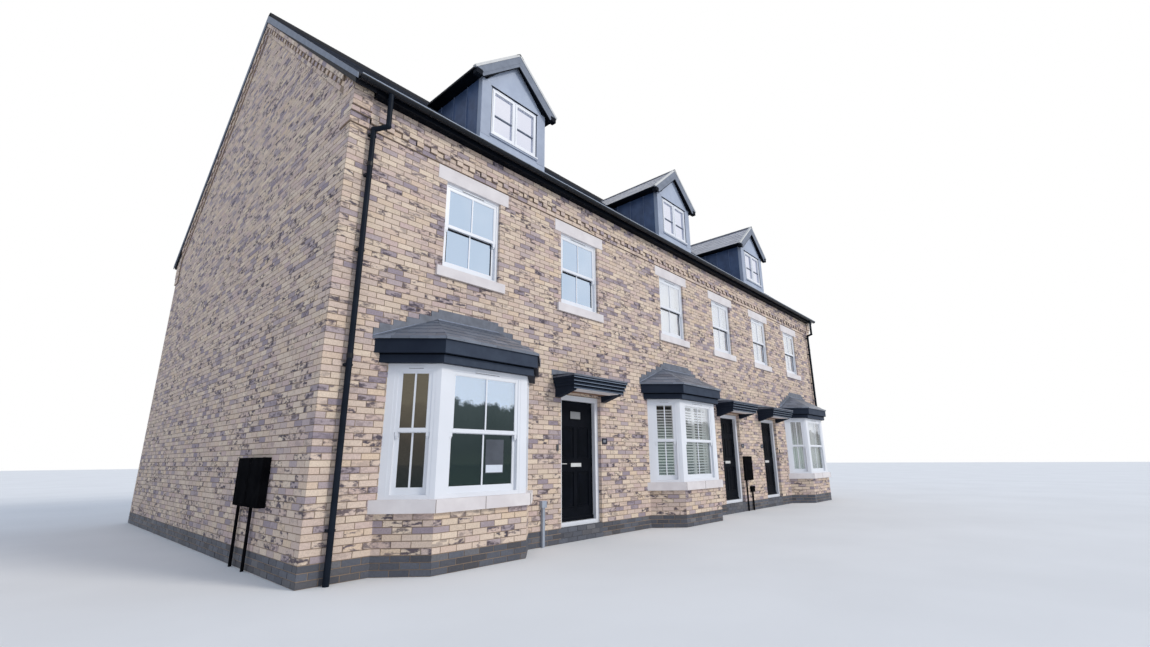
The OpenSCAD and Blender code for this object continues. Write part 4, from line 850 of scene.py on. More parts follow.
def build_verge_bricks():
    """Raking courses and dentils under both verges."""
    shape = SHAPES["brickwork_verges"]
    length = (DEPTH / 2 - RETURN_W) / COS
    count = math.floor((length - 2 * DENTIL_W) / DENTIL_PITCH)
    tall = (JOINT / 2, COURSE - JOINT / 2)
    for f in (LEFT, RIGHT):
        for side in (-1, 1):
            for drop, stand in ((COURSE, EAVES_OUT), (3 * COURSE, STRING_OUT)):
                lay_course(shape, out(rake(f, side, drop), stand), Run(0, length), 0.0, 0.0)
            r = rake(f, side, 2 * COURSE)
            for k in range(count + 1):
                u = DENTIL_W + k * DENTIL_PITCH
                shape.block(r, (u, u + DENTIL_W), tall, (0, EAVES_OUT + PROUD))
                shape.block(r, (u + DENTIL_W + JOINT / 2, u + DENTIL_PITCH - JOINT / 2), tall,
                            (0, DENTIL_FILL))


# Slates


def clip_to(points, outline):
    """Part of a polygon inside a convex outline that runs anticlockwise."""
    for p, q in zip(outline, outline[1:] + outline[:1]):
        a, b = q[1] - p[1], p[0] - q[0]
        c = a * p[0] + b * p[1]
        over = [a * s[0] + b * s[1] - c for s in points]
        kept = []
        for k, (s, d) in enumerate(zip(points, over)):
            other, far = points[(k + 1) % len(points)], over[(k + 1) % len(points)]
            if d <= 0:
                kept.append(s)
            if d * far < 0:
                t = d / (d - far)
                kept.append((s[0] + t * (other[0] - s[0]), s[1] + t * (other[1] - s[1])))
        points = kept
        if len(points) < 3:
            return []
    return points


def lay_slates(shape, f, outline, size, skip=None):
    """Rows of slates on a sloping face, each thick at its foot and thin at its head."""
    lo_u, hi_u = min(p[0] for p in outline), max(p[0] for p in outline)
    lo_v, hi_v = min(p[1] for p in outline), max(p[1] for p in outline)
    for row in range(math.ceil((hi_v - lo_v) / size.gauge - 1e-6)):
        v = lo_v + row * size.gauge
        u = lo_u - (size.width / 2 if row % 2 else 0.0)
        while u < hi_u:
            if skip is None or not skip(u + size.width / 2, v + size.gauge / 2):
                lay_slate(shape, f, outline, (u + SLATE_GAP, u + size.width - SLATE_GAP), v, size)
            u += size.width


def lay_slate(shape, f, outline, us, v0, size):
    lift = size.thick + shape.rng.uniform(-SLATE_JITTER, SLATE_JITTER) * size.thick
    v1 = v0 + size.gauge
    cut = clip_to([(us[0], v0), (us[1], v0), (us[1], v1), (us[0], v1)], outline)
    if len(cut) < 3:
        return
    k = len(cut)
    tops = [on(f, x, y, lift * (SLATE_LIFT - (y - v0) / size.gauge)) for x, y in cut]
    feet = [on(f, x, y) for x, y in cut]
    sides = [(i + k, (i + 1) % k + k, (i + 1) % k, i) for i in range(k)]
    shape.add(tops + feet, [tuple(range(k))] + sides)


def main_slope(side):
    """Face of the front (-1) or rear (1) roof, from the left end of its eaves."""
    normal = (0, side * SIN, COS)
    up = (0, -side * COS, SIN)
    return face((-side * (X_LEFT - VERGE_OUT), side * TILE_Y, TILE_Z), (-side, 0, 0), normal, up)


def in_dormer(u, v):
    """True where a dormer stands over a point of the front roof."""
    x, y = X_LEFT - VERGE_OUT + u, -TILE_Y + v * COS
    z = TILE_Z + v * SIN
    return any(abs(x - c) < DORMER_W / 2 - VALLEY_IN and DORMER_Y < y
               and z < DORMER_RIDGE_Z - abs(x - c) * RISE - VALLEY_UNDER for c in DORMERS)


def build_main_slates():
    width, top = ROW_L + 2 * VERGE_OUT, SLOPE_L - RIDGE_CLEAR
    outline = [(0, 0), (width, 0), (width, top), (0, top)]
    lay_slates(SHAPES["slates_front"], main_slope(-1), outline, MAIN_SLATE, in_dormer)
    lay_slates(SHAPES["slates_rear"], main_slope(1), outline, MAIN_SLATE)


def bay_slopes(x):
    """The three sloping faces of a bay roof with their outlines."""
    fall = BAY_ROOF_RISE - BAY_ROOF_EDGE
    slope = math.hypot(BAY_RUN, fall)
    eaves_half = BAY_TOP_HALF + BAY_RUN * CANT
    side_l = math.hypot(BAY_FOOT - eaves_half, BAY_RUN)
    eaves_y, z = Y_FRONT - BAY_RUN, BAY_ROOF_Z + BAY_ROOF_EDGE
    slopes = {-1: ((x - BAY_FOOT, Y_FRONT, z), side_l, [(BAY_RUN, slope)]),
              0: ((x - eaves_half, eaves_y, z), 2 * eaves_half,
                  [(eaves_half + BAY_TOP_HALF, slope), (eaves_half - BAY_TOP_HALF, slope)]),
              1: ((x + eaves_half, eaves_y, z), side_l, [(side_l - BAY_RUN, slope)])}
    for turn, (o, length, top) in slopes.items():
        a = math.radians(45 * turn)
        away = Vector((math.sin(a), -math.cos(a), 0))
        along = Vector((math.cos(a), math.sin(a), 0))
        up = (-away * BAY_RUN + Vector((0, 0, fall))).normalized()
        yield Face(Vector(o), along, up, along.cross(up)), [(0, 0), (length, 0)] + top


def build_bay_slates():
    """Slates of the bay roofs, with an eaves course that covers the edge of the boards."""
    shape = SHAPES["slates_bays"]
    drop = Vector((0, 0, -1))
    for x in BAYS:
        for f, outline in bay_slopes(x):
            lay_slates(shape, f, outline, BAY_SLATE)
            length = outline[1][0]
            edge = Face(f.o, f.u, drop, f.u.cross(drop) * -1)
            count = round(length / BAY_SLATE.width)
            for k in range(count):
                u = k * length / count
                shape.block(edge, (u + SLATE_GAP, u + length / count - SLATE_GAP),
                            (-SLATE_EDGE_T, BAY_ROOF_EDGE), (SLATE_EDGE_GAP, SLATE_EDGE_T))


def valley_y(z):
    """Y at which a level line of a dormer roof meets the front roof."""
    return -(TILE_Y - (z - TILE_Z) / RISE)


def dormer_slope(x, side):
    """Slope of a dormer roof on one side, its outline ending at the valley."""
    z0 = DORMER_Z + DORMER_EDGE
    eaves, ridge = valley_y(z0) - BARGE_Y, valley_y(DORMER_RIDGE_Z) - BARGE_Y
    up = Vector((-side * COS, 0, SIN))
    slope = DORMER_HALF / COS
    normal = (side * SIN, 0, COS)
    if side > 0:
        f = face((x + DORMER_HALF, BARGE_Y, z0), (0, 1, 0), normal, up)
        return f, [(0, 0), (eaves, 0), (ridge, slope), (0, slope)]
    f = face((x - DORMER_HALF, valley_y(DORMER_RIDGE_Z), z0), (0, -1, 0), normal, up)
    return f, [(ridge - eaves, 0), (ridge, 0), (ridge, slope), (0, slope)]


def build_dormer_slates():
    for x in DORMERS:
        for side in (-1, 1):
            lay_slates(SHAPES["slates_dormers"], *dormer_slope(x, side), DORMER_SLATE)


# Windows

Light = namedtuple("Light", "f w h house")


def house_of(x):
    return min(2, int((x - X_LEFT) / HOUSE_W))


def sash_windows():
    """Outer face of every sash window outside the bays, from the middle of its foot."""
    y = Y_FRONT + WINDOW_SET
    faces = [front(x, y, SILL_Z) for x in WINDOWS] + [rear(x, -y, SILL_Z) for x in WINDOWS]
    faces += [rear(x, -y, REAR_SILL_Z) for x in BAYS]
    return [Light(f, WINDOW_W, WINDOW_H, house_of(f.o.x)) for f in faces]


def bay_lights():
    """The three lights of each bay."""
    reach = BAY_OUT - BAY_FRAME_SET
    half = BAY_HALF - BAY_FRAME_SET * CANT
    side_w = reach * math.sqrt(2) - BAY_CORNER_POST - BAY_WALL_POST
    lights = []
    for i, x in enumerate(BAYS):
        lights.append(Light(front(x, Y_FRONT - reach + BAY_LIGHT_SET, BAY_FRAME_Z),
                            2 * half - 2 * BAY_POST, BAY_LIGHT_H, i))
        for s in (-1, 1):
            mid = Vector((x + s * (half + reach / 2), Y_FRONT - reach / 2, BAY_FRAME_Z))
            u, n = Vector((1, s, 0)).normalized(), (s, -1, 0)
            mid += u * (s * (BAY_CORNER_POST - BAY_WALL_POST) / 2)
            mid -= Vector(n).normalized() * BAY_LIGHT_SET
            lights.append(Light(face(mid, u, n), side_w, BAY_LIGHT_H, i))
    return lights


def pane_spans(lit):
    """Half width, and the foot, head and glass depth of the lower and upper pane."""
    half, mid = lit.w / 2 - FRAME_FACE - STILE_W, lit.h / 2
    depth = SASH_SET + (SASH_D - GLASS_T) / 2
    return half, ((FRAME_FACE + BOTTOM_RAIL, mid - MEETING_RAIL / 2, depth + SASH_D - SASH_LAP),
                  (mid + MEETING_RAIL / 2, lit.h - FRAME_FACE - STILE_W, depth))


def sash_trim(shape, slots, lit):
    """Glazing bars, putty beads, sash horns and a slim vent over the head, with its slot."""
    half, panes = pane_spans(lit)
    for v0, v1, depth in panes:
        bead = (-depth, BEAD_OUT - depth)
        shape.solid(lit.f, (-BAR_W / 2, BAR_W / 2), (v0, v1), (-depth, BAR_OUT - depth))
        for u in (-half, half - BEAD_W):
            shape.solid(lit.f, (u, u + BEAD_W), (v0, v1), bead)
        for v in (v0, v1 - BEAD_W):
            shape.solid(lit.f, (-half, half), (v, v + BEAD_W), bead)
    foot = lit.h / 2 - MEETING_RAIL / 2
    for s in (-1, 1):
        a, b = sorted((s * half, s * (half + STILE_W - HORN_IN)))
        shape.solid(lit.f, (a, b), (foot - HORN_H, foot), HORN_N)
        shape.solid(lit.f, (a + HORN_TIP_IN, b - HORN_TIP_IN), (foot - HORN_TIP_H, foot - HORN_H),
                    HORN_TIP_N)
    vent = min(VENT_W, half * VENT_SHARE)
    shape.solid(lit.f, (-vent / 2, vent / 2), (lit.h - VENT_LOW, lit.h - VENT_TOP), (0, VENT_OUT))
    slot = vent - SLOT_SHORT
    slots.solid(lit.f, (-slot / 2, slot / 2), (lit.h - VENT_LOW - SLOT_H, lit.h - VENT_LOW),
                (0, SLOT_OUT))


def lay_panes(shape, lit):
    """Both panes of a light, let a little into its sashes."""
    half, panes = pane_spans(lit)
    for v0, v1, depth in panes:
        shape.solid(lit.f, (-half - GLASS_LAP, half + GLASS_LAP), (v0 - GLASS_LAP, v1 + GLASS_LAP),
                    (-depth - GLASS_T, -depth))


def lay_pane_shadows(shape, lit):
    """Dark strips that paint the shadow on the lower pane, under the meeting rail and beside the
    stiles.
    """
    half, panes = pane_spans(lit)
    v0, v1, depth = panes[0]
    n = (-depth, PANE_SHADOW_OUT - depth)
    shape.solid(lit.f, (-half, half), (v1 - PANE_SHADOW_H, v1), n)
    for u in (-half, half - PANE_SHADOW_W):
        shape.solid(lit.f, (u, u + PANE_SHADOW_W), (v0, v1 - PANE_SHADOW_H), n)


def build_windows():
    """Trim and panes; each pane has a painted reflection of sky, a skyline or the wall, some of
    them over blinds.
    """
    pane_shadow_strips, slots = shapes("pane_shadows", "vent_slots")
    for lit in sash_windows():
        screened = lit.house and lit.f.n.y < 0
        sash_trim(SHAPES["sash_bars_walls"], slots, lit)
        lay_panes(SHAPES["blind_panes" if screened else "window_panes"], lit)
        lay_pane_shadows(pane_shadow_strips, lit)
    for lit in bay_lights():
        name = "screened" if lit.house else "bay"
        name += "_front_panes" if lit.f.n.x == 0 else "_side_panes"
        sash_trim(SHAPES["sash_bars_bays"], slots, lit)
        lay_panes(SHAPES[name], lit)


def build_sheet():
    """Bare dark sheet with a pale foot inside the lower right pane of the first bay."""
    lit = bay_lights()[0]
    half, panes = pane_spans(lit)
    _, v1, depth = panes[0]
    u, low = half * SHEET_AT - SHEET_X, v1 - SHEET_LOW
    back, middle, face_n = (n - depth for n in SHEET_N)
    sheet, foot = shapes("window_sheet", "window_sheet_foot")
    sheet.solid(lit.f, (u, u + SHEET_W), (low, v1 - SHEET_TOP), (back, middle))
    foot.solid(lit.f, (u + SHEET_MARGIN, u + SHEET_W - SHEET_MARGIN),
               (low + SHEET_MARGIN, low + SHEET_FOOT), (middle, face_n))


def build_blinds():
    """Pleated blinds upstairs in two houses, louvred shutters and hanging strips in bays."""
    # All of these are in a white that glows a little as painted light
    shape = SHAPES["blinds"]
    for lit in sash_windows():
        if lit.house and lit.f.n.y < 0:
            half = lit.w / 2 - FRAME_FACE
            for k in range(round((lit.h - 2 * FRAME_FACE) / PLEAT)):
                v = FRAME_FACE + k * PLEAT
                shape.solid(lit.f, (-half, half), (v, v + PLEAT_H), PLEAT_N)
    for lit in bay_lights():
        half = lit.w / 2 - FRAME_FACE
        if lit.house == 1:
            lay_shutters(shape, lit, half)
        elif lit.house == 2:
            count = round(2 * half / STRIP_PITCH)
            for k in range(count):
                u = -half + (k + STRIP_FIRST) * 2 * half / count
                shape.solid(out(lit.f, STRIP_BACK), (u, u + STRIP_W),
                            (FRAME_FACE, lit.h - STRIP_TOP), STRIP_N)


def lay_shutters(shape, lit, half):
    """Two louvred leaves, each a frame round tilted slats."""
    back = out(lit.f, SHUTTER_BACK)
    leaves = ((-half, 0.0), (0.0, half)) if half > WIDE_LIGHT else ((-half, half),)
    for a, b in leaves:
        inner = (a + SHUTTER_STILE, b - SHUTTER_STILE)
        for u in (a + SHUTTER_GAP, b - SHUTTER_STILE - SHUTTER_GAP):
            shape.solid(back, (u, u + SHUTTER_STILE), (FRAME_FACE, lit.h - FRAME_FACE), STILE_N)
        for v in (FRAME_FACE, (lit.h - SHUTTER_RAIL) / 2, lit.h - FRAME_FACE - SHUTTER_RAIL):
            shape.solid(back, inner, (v, v + SHUTTER_RAIL), RAIL_N)
        for k in range(int((lit.h - 2 * SLAT_FIRST) / SLAT_PITCH)):
            slat = Face(on(back, 0, SLAT_FIRST + k * SLAT_PITCH, SLAT_N), back.u,
                        back.v * SLAT_COS + back.n * SLAT_SIN,
                        back.n * SLAT_COS - back.v * SLAT_SIN)
            shape.solid(slat, inner, (-SLAT_HALF, SLAT_HALF), (-SLAT_T, SLAT_T))


# Bays


def build_bay_lead():
    """Stepped flashing over each bay roof, one step for each brick course, with an apron and a
    pale strip along its fold that is a painted highlight.
    """
    lead, fold_highlights = shapes("bay_lead", "bay_lead_fold_highlights")
    gain = (BAY_FOOT - BAY_TOP_HALF) / (BAY_ROOF_RISE - BAY_ROOF_EDGE)
    top = BAY_ROOF_Z + BAY_ROOF_RISE + FLASHING_H
    k = round(BAY_ROOF_Z / COURSE)
    while k * COURSE < top - TOUCH:
        v0, v1 = max(k * COURSE, BAY_ROOF_Z + 0.010), min((k + 1) * COURSE, top)
        line = v1 - FLASHING_H - BAY_ROOF_Z - BAY_ROOF_EDGE
        half = min(BAY_FOOT, BAY_FOOT - line * gain)
        for x in BAYS:
            lead.solid(FRONT, (x - X_LEFT - half, x - X_LEFT + half), (v0, v1), (0, FLASHING_T))
        k += 1
    for x in BAYS:
        for f, outline in bay_slopes(x):
            lead.prism(f, lead_strip(f, outline, APRON), APRON_N)
            # Pale strip along the fold: painted highlight
            fold_highlights.prism(f, lead_strip(f, outline, FOLD_HIGHLIGHT_W), FOLD_HIGHLIGHT_N)


def lead_strip(f, outline, width):
    """Strip of a bay slope along the wall, as points that run anticlockwise."""
    if len(outline) == 4:
        us, slope = [p[0] for p in outline], outline[2][1]
        run = slope / (us[1] - us[2])
        return [(us[3] - width / run, slope - width), (us[2] + width / run, slope - width),
                (us[2], slope), (us[3], slope)]
    foot_l, foot_r, apex = (Vector(p) for p in outline)
    wall, other = (foot_l, foot_r) if f.n.x < 0 else (foot_r, foot_l)
    strip = [wall, wall + (other - wall).normalized() * (width * STRIP_SHARE_WALL),
             apex - (apex - other).normalized() * (width * STRIP_SHARE_TOP), apex]
    points = [(p.x, p.y) for p in strip]
    return points if f.n.x < 0 else points[::-1]


def build_bay_trim():
    """Joints across the front of the bay sills; on the fascias, lighter front boards that paint
    the sky reflection and dark strips that paint the shadow under the upper board.
    """
    joints, boards, shadow_strips = shapes("sill_joints", "fascia_lit_boards", "painted_shadow_strips")
    for f, length in bay_faces(BAY_SILL_OUT)[::3]:
        for mark in SILL_MARKS:
            u = mark if mark > 0 else length + mark
            joints.block(f, (u, u + SILL_MARK_W), (BAY_SILL_Z, BAY_FRAME_Z - SILL_MARK_TOP),
                         SILL_MARK_N)
    low_h = LOW_FASCIA_H - SHADOW_STRIP_H
    for f, length in bay_faces(LOW_FASCIA_OUT, BAY_HEAD_Z):
        # Dark strip at the top of the lower board: painted shadow under the upper board
        shadow_strips.block(f, (0, length), (low_h, LOW_FASCIA_H), (0, SHADOW_STRIP_T))
    for stand, z, h in ((LOW_FASCIA_OUT, BAY_HEAD_Z, low_h),
                        (HIGH_FASCIA_OUT, BAY_HEAD_Z + LOW_FASCIA_H, HIGH_FASCIA_H)):
        # Lighter boards on the bay fronts only: painted sky reflection
        for f, length in bay_faces(stand, z)[::3]:
            boards.block(f, (0, length), (0, h), (0, LIT_BOARD_T))


# Canopies


def canopy_lead(shape, x):
    """Sheet over a canopy with its lips and the strip up the wall."""
    half, reach, h, top = CANOPY_W / 2, CANOPY_OUT, CANOPY_H, CANOPY_H + CANOPY_FALL
    lip = reach + LEAD_T
    profile = [(-LEAD_IN, top), (reach, h), (reach, h - LEAD_LIP), (lip, h - LEAD_LIP),
               (lip, h + LEAD_T), (LEAD_HEEL, top + LEAD_T), (LEAD_HEAD, top + LEAD_UP),
               (-LEAD_IN, top + LEAD_UP)]
    shape.prism(left(x - half, z=CANOPY_Z), profile, (-2 * half - LEAD_OVER, LEAD_OVER))
    for n in ((half, half + LEAD_T), (-half - LEAD_T, -half)):
        shape.solid(left(x, z=CANOPY_Z), (0.0, lip), (h - LEAD_LIP, h + LEAD_OVER), n)
    shape.solid(front(x, z=CANOPY_Z), (-half - COVER_OVER, half + COVER_OVER),
                (top - LEAD_OVER, top + COVER_UP), (0.0, COVER_T))


def build_canopy_trim():
    """Lead top, painted highlights along the stepped front with painted shadow under each step,
    and a two-tone soffit of each canopy whose rear board is painted the brown of brick in shade.
    """
    lead, boards, inner, shadow_strips, highlight_strips = shapes("canopy_lead", "canopy_boards",
                                              "canopy_shaded_boards", "painted_shadow_strips",
                                              "canopy_highlights")
    step_h, half = CANOPY_H / CANOPY_STEPS, CANOPY_W / 2
    inset = CANOPY_STEP * (CANOPY_STEPS - 1)
    u, depth = half - inset - BRACKET_W, CANOPY_OUT - inset - SOFFIT_IN
    for x in DOORS:
        canopy_lead(lead, x)
        soffit = front(x, z=CANOPY_Z)
        boards.solid(soffit, (-u, u), (-SOFFIT_BOARD_T, SOFFIT_LAP),
                     (depth * SOFFIT_BACK, depth))
        # Rear soffit board in the brown of brick in shade: painted shade
        inner.solid(soffit, (-u, u), (-SHADED_BOARD_T, SOFFIT_LAP), (0.0, depth * SOFFIT_BACK))
        for k in range(CANOPY_STEPS):
            back = CANOPY_STEP * (CANOPY_STEPS - 1 - k)
            f, us, v = out(soffit, CANOPY_OUT - back), (back - half, half - back), k * step_h
            # Lighter strip along the foot of each step: painted highlight; dark strip under the
            # step above: painted shadow
            highlight_strips.block(f, us, (v, v + CANOPY_HIGHLIGHT_H), (0, CANOPY_HIGHLIGHT_T))
            if back:
                shadow_strips.block(f, us, (v + step_h - CANOPY_SHADOW_H, v + step_h), (0, SHADOW_STRIP_T))


# Doors


def panel_rows(lit):
    """Foot and head of the panels of a door, with or without a small light over them."""
    low, mid = LEAF_LOW + PANEL_FOOT, LETTER_Z + LETTER_CLEAR
    rows = [(low, LETTER_Z - LETTER_CLEAR)]
    if lit:
        return rows + [(mid, LEAF_HIGH - LIT_PANEL_TOP)]
    return rows + [(mid, LEAF_HIGH - MID_PANEL_TOP),
                   (LEAF_HIGH - HIGH_PANEL_FOOT, LEAF_HIGH - HIGH_PANEL_TOP)]


def raised_field(shape, f, u, v):
    """Panel field with sloping margins."""
    corners = []
    for grow, n in ((0.0, -PANEL_SINK), (BEVEL, FIELD_N)):
        u0, u1, v0, v1 = u[0] + grow, u[1] - grow, v[0] + grow, v[1] - grow
        corners += [on(f, x, y, n) for x, y in ((u0, v0), (u1, v0), (u1, v1), (u0, v1))]
    shape.add(corners, BOX_SIDES)


def lay_panels(shape, f, rows):
    for v0, v1 in rows:
        for s in (-1, 1):
            a, b = s * PANEL_X - PANEL_W / 2, s * PANEL_X + PANEL_W / 2
            shape.ring(f, (a - PANEL_PAST, b + PANEL_PAST), (v0 - PANEL_PAST, v1 + PANEL_PAST),
                       PANEL_FRAME, (-PANEL_SINK, PANEL_FRAME_OUT))
            raised_field(shape, f, (a + FIELD_IN, b - FIELD_IN), (v0 + FIELD_IN, v1 - FIELD_IN))


def build_door_light(f):
    """Frosted pane high up in the first door, in a raised border."""
    w, low, top = DOOR_LIGHT_W, LEAF_HIGH - DOOR_LIGHT_LOW, LEAF_HIGH - DOOR_LIGHT_TOP
    rim = DOOR_LIGHT_RIM
    SHAPES["door_1_panels"].ring(f, (-w, w), (low, top), rim, (-PANEL_SINK, DOOR_LIGHT_OUT))
    SHAPES["door_light"].solid(f, (rim - w, w - rim), (low + rim, top - rim),
                               (-PANEL_SINK, DOOR_PANE_N))


def build_door_trim():
    for i, x in enumerate(DOORS):
        f = front(x, LEAF_Y)
        panels, bar = shapes("door_%d_panels" % (i + 1), "door_%d_weather_bar" % (i + 1))
        lay_panels(panels, f, panel_rows(lit=i == 0))
        if i == 0:
            build_door_light(f)
        bar.solid(f, (-LEAF_HALF, LEAF_HALF), (LEAF_LOW + BAR_LOW, LEAF_LOW + BAR_TOP), (0, BAR_D))
        bar.prism(left(*on(f, -LEAF_HALF, LEAF_LOW + BAR_TOP)),
                  [(0, BAR_D), (BAR_NOSE, BAR_D), (BAR_D, 0), (0, 0)], (-2 * LEAF_HALF, 0))
        f = rear(x, Y_REAR - DOOR_SET - LEAF_BACK)
        lay_panels(SHAPES["rear_door_panels"], out(f, PANEL_SINK), panel_rows(lit=False))


def build_fittings():
    """Rims and locks on the meter boxes, a push on each bell, plaques and a duct cover."""
    boxes, bells, plaques, centres, riser = shapes(
        "meter_box_rims", "bell_pushes", "plaque_faces", "plaque_centres", "service_duct_cover")
    rim_v = (BOX_MARGIN, BOX_TOP)
    for y in SIDE_BOX_Y:
        f = left(X_LEFT - SIDE_BOX_OUT, y, BOX_Z)
        boxes.ring(f, (-BOX_W, -BOX_MARGIN), rim_v, BOX_RIM, (0, RIM_OUT))
        boxes.block(f, LOCK_U, LOCK_V, (0, LOCK_OUT))
    f = front(FRONT_BOX_X, Y_FRONT - FRONT_BOX_OUT, BOX_Z)
    boxes.ring(f, (BOX_MARGIN, BOX_W), rim_v, BOX_RIM, (0, RIM_OUT))
    for hand, x in zip(HAND, DOORS):
        bells.prism(front(x - hand * PLATE_X, Y_FRONT - BELL_OUT, BELL_Z),
                    circle(BELL_R, BELL_SIDES, BELL_UP), (0, RIM_OUT))
        f, us = front(x + hand * PLATE_X, z=PLAQUE_Z), (-PLAQUE_HALF, PLAQUE_HALF)
        plaques.solid(f, us, PLAQUE_V, (0, PLAQUE_T))
        plaques.ring(f, us, PLAQUE_V, PLAQUE_RIM, (PLAQUE_T, PLAQUE_T + PLAQUE_RIM_T))
        centres.solid(f, CENTRE_U, CENTRE_V, CENTRE_N)
    f, us = front(DOORS[0] - RISER_X), (-RISER_BOX_HALF, RISER_BOX_HALF)
    riser.solid(f, (-RISER_HALF, RISER_HALF), (0, RISER_Z), (0, RISER_D))
    riser.solid(f, us, (RISER_Z, RISER_BOX_Z), (0, RISER_BOX_D))
    riser.ring(f, us, (RISER_Z, RISER_BOX_Z), RISER_RIM,
               (RISER_BOX_D, RISER_BOX_D + RISER_RIM_T))


# Dormers


def barge_band(low, high, s):
    """Outline of a band along a rake between two depths, plumb at the ridge."""
    end = DORMER_HALF / COS - BARGE_SHORT
    return [(-low * RISE, low), (end, low), (end, high), (-high * RISE, high)][::s]


def build_dormer_trim():
    strips, barges, dark, caps, seams = shapes("dormer_verge_strips", "dormer_barges",
                                               "dormer_drips_and_shade_lines", "dormer_ridge_caps",
                                               "dormer_seams")
    rake_l = DORMER_HALF / COS
    for x in DORMERS:
        for s in (-1, 1):
            along, up = rake_axes(s)
            f = Face(Vector((x, BARGE_Y, DORMER_RIDGE_Z)), along, up, Vector((0, -1, 0)))
            strips.solid(f, (0.0, rake_l + VERGE_STRIP_OVER), VERGE_STRIP_V, VERGE_STRIP_N)
            barges.prism(f, barge_band(-BARGE_DEEP, -BARGE_H + BARGE_LAP, s), (-BARGE_FACE, 0.0))
            # Black strip at the foot of each barge: painted shade of the soffit under it
            dark.prism(f, barge_band(-BARGE_DEEP - BARGE_SHADE_H, -BARGE_DEEP, s),
                       (-BARGE_FACE, -BARGE_SHADE_SET))
            us = sorted((s * (DORMER_HALF - BARGE_END_IN), s * (DORMER_HALF - BARGE_END_W)))
            dark.solid(front(x, BARGE_Y, DORMER_Z), us, BARGE_END_V, BARGE_END_N)
        dormer_caps(caps, x)
        dormer_face_trim(x)
        dormer_seams(seams, x)


def rake_axes(s):
    """Directions down a dormer roof and away from it, on its left (-1) or right (1)."""
    return (Vector((s * COS, 0, -SIN)),
            Vector((s * SIN, 0, COS)))


def dormer_caps(shape, x):
    """Angled ridge tiles from the front of the dormer to the main roof."""
    back = valley_y(DORMER_RIDGE_Z) + CAP_INTO
    count = round((back - BARGE_Y) / CAP_L)
    step = (back - BARGE_Y) / count
    for k in range(count):
        for s in (-1, 1):
            along, up = rake_axes(s)
            f = Face(Vector((x, BARGE_Y - CAP_PAST + k * step, DORMER_RIDGE_Z)),
                     Vector((0, 1, 0)), along, up)
            shape.solid(f, (0.0, step - CAP_GAP), (-CAP_LAP, CAP_W), CAP_N)


def dormer_face_trim(x):
    """Boards beside a dormer window, a dark line of painted shade round it, its sashes, bars,
    vents and sill.
    """
    white, dark, boards, bars = shapes("dormer_window_trim", "dormer_drips_and_shade_lines",
                                       "dormer_boards", "dormer_barges")
    f = front(x, DORMER_Y)
    half, z0, z1 = DORMER_WIN_W / 2, DORMER_SILL_Z, DORMER_SILL_Z + DORMER_WIN_H
    for s in (-1, 1):
        us = sorted((s * (half + SIDE_BOARD_IN), s * (DORMER_W / 2 - SIDE_BOARD_EDGE)))
        boards.block(f, us, (z0 - SIDE_BOARD_DOWN, z1 + SIDE_BOARD_UP), (0, SIDE_BOARD_EDGE))
    # Dark ring round the window: painted shade
    dark.ring(f, (-half - SHADE_LINE_W, half + SHADE_LINE_W), (z0 - SHADE_LINE_W, z1 + SHADE_LINE_TOP),
              SHADE_LINE_W, SHADE_LINE_N)
    dark.solid(f, (-half - HEAD_DRIP_OVER, half + HEAD_DRIP_OVER),
               (z1 + SHADE_LINE_W, z1 + HEAD_DRIP_TOP), (0, HEAD_DRIP_OUT))
    pane = out(f, -DORMER_FRAME_SET)
    mid = z0 + DORMER_WIN_H * DORMER_BAR_AT
    for a, b in ((-half + CASEMENT_IN, -MULLION_HALF), (MULLION_HALF, half - CASEMENT_IN)):
        white.ring(pane, (a, b), (z0 + CASEMENT_IN, z1 - CASEMENT_IN), CASEMENT_W, CASEMENT_N)
        bars.solid(pane, (a + CASEMENT_W, b - CASEMENT_W),
                   (mid - DORMER_BAR_HALF, mid + DORMER_BAR_HALF), DORMER_BAR_N)
        white.solid(pane, (a + SMALL_VENT_IN, b - SMALL_VENT_IN),
                    (z1 - SMALL_VENT_LOW, z1 - SMALL_VENT_TOP), (0, SMALL_VENT_OUT))
        dark.solid(pane, (a + SMALL_SLOT_IN, b - SMALL_SLOT_IN),
                   (z1 - SMALL_SLOT_LOW, z1 - SMALL_VENT_LOW), (0, SMALL_SLOT_OUT))
    sill = (-half - DORMER_SILL_OVER, half + DORMER_SILL_OVER)
    white.solid(f, sill, (z0 - DORMER_SILL_H, z0), DORMER_SILL_N)
    boards.solid(f, sill, (z0 - SILL_BOARD_LOW, z0 - DORMER_SILL_H), (0, SILL_BOARD_T))


def dormer_seams(shape, x):
    """Standing seams up both cheeks."""
    for s in (-1, 1):
        f = face((x + s * DORMER_W / 2, DORMER_Y, 0), (0, 1, 0), (s, 0, 0))
        for k in range(1, SEAMS + 1):
            u = k * SEAM_PITCH
            low = TILE_Z + (TILE_Y + (DORMER_Y + u)) * RISE
            if low < DORMER_Z - SEAM_MIN:
                shape.block(f, (u - SEAM_HALF, u + SEAM_HALF),
                            (low - SEAM_INTO, DORMER_Z - SEAM_TOP), (0, SEAM_OUT))


# Rainwater goods and ridge


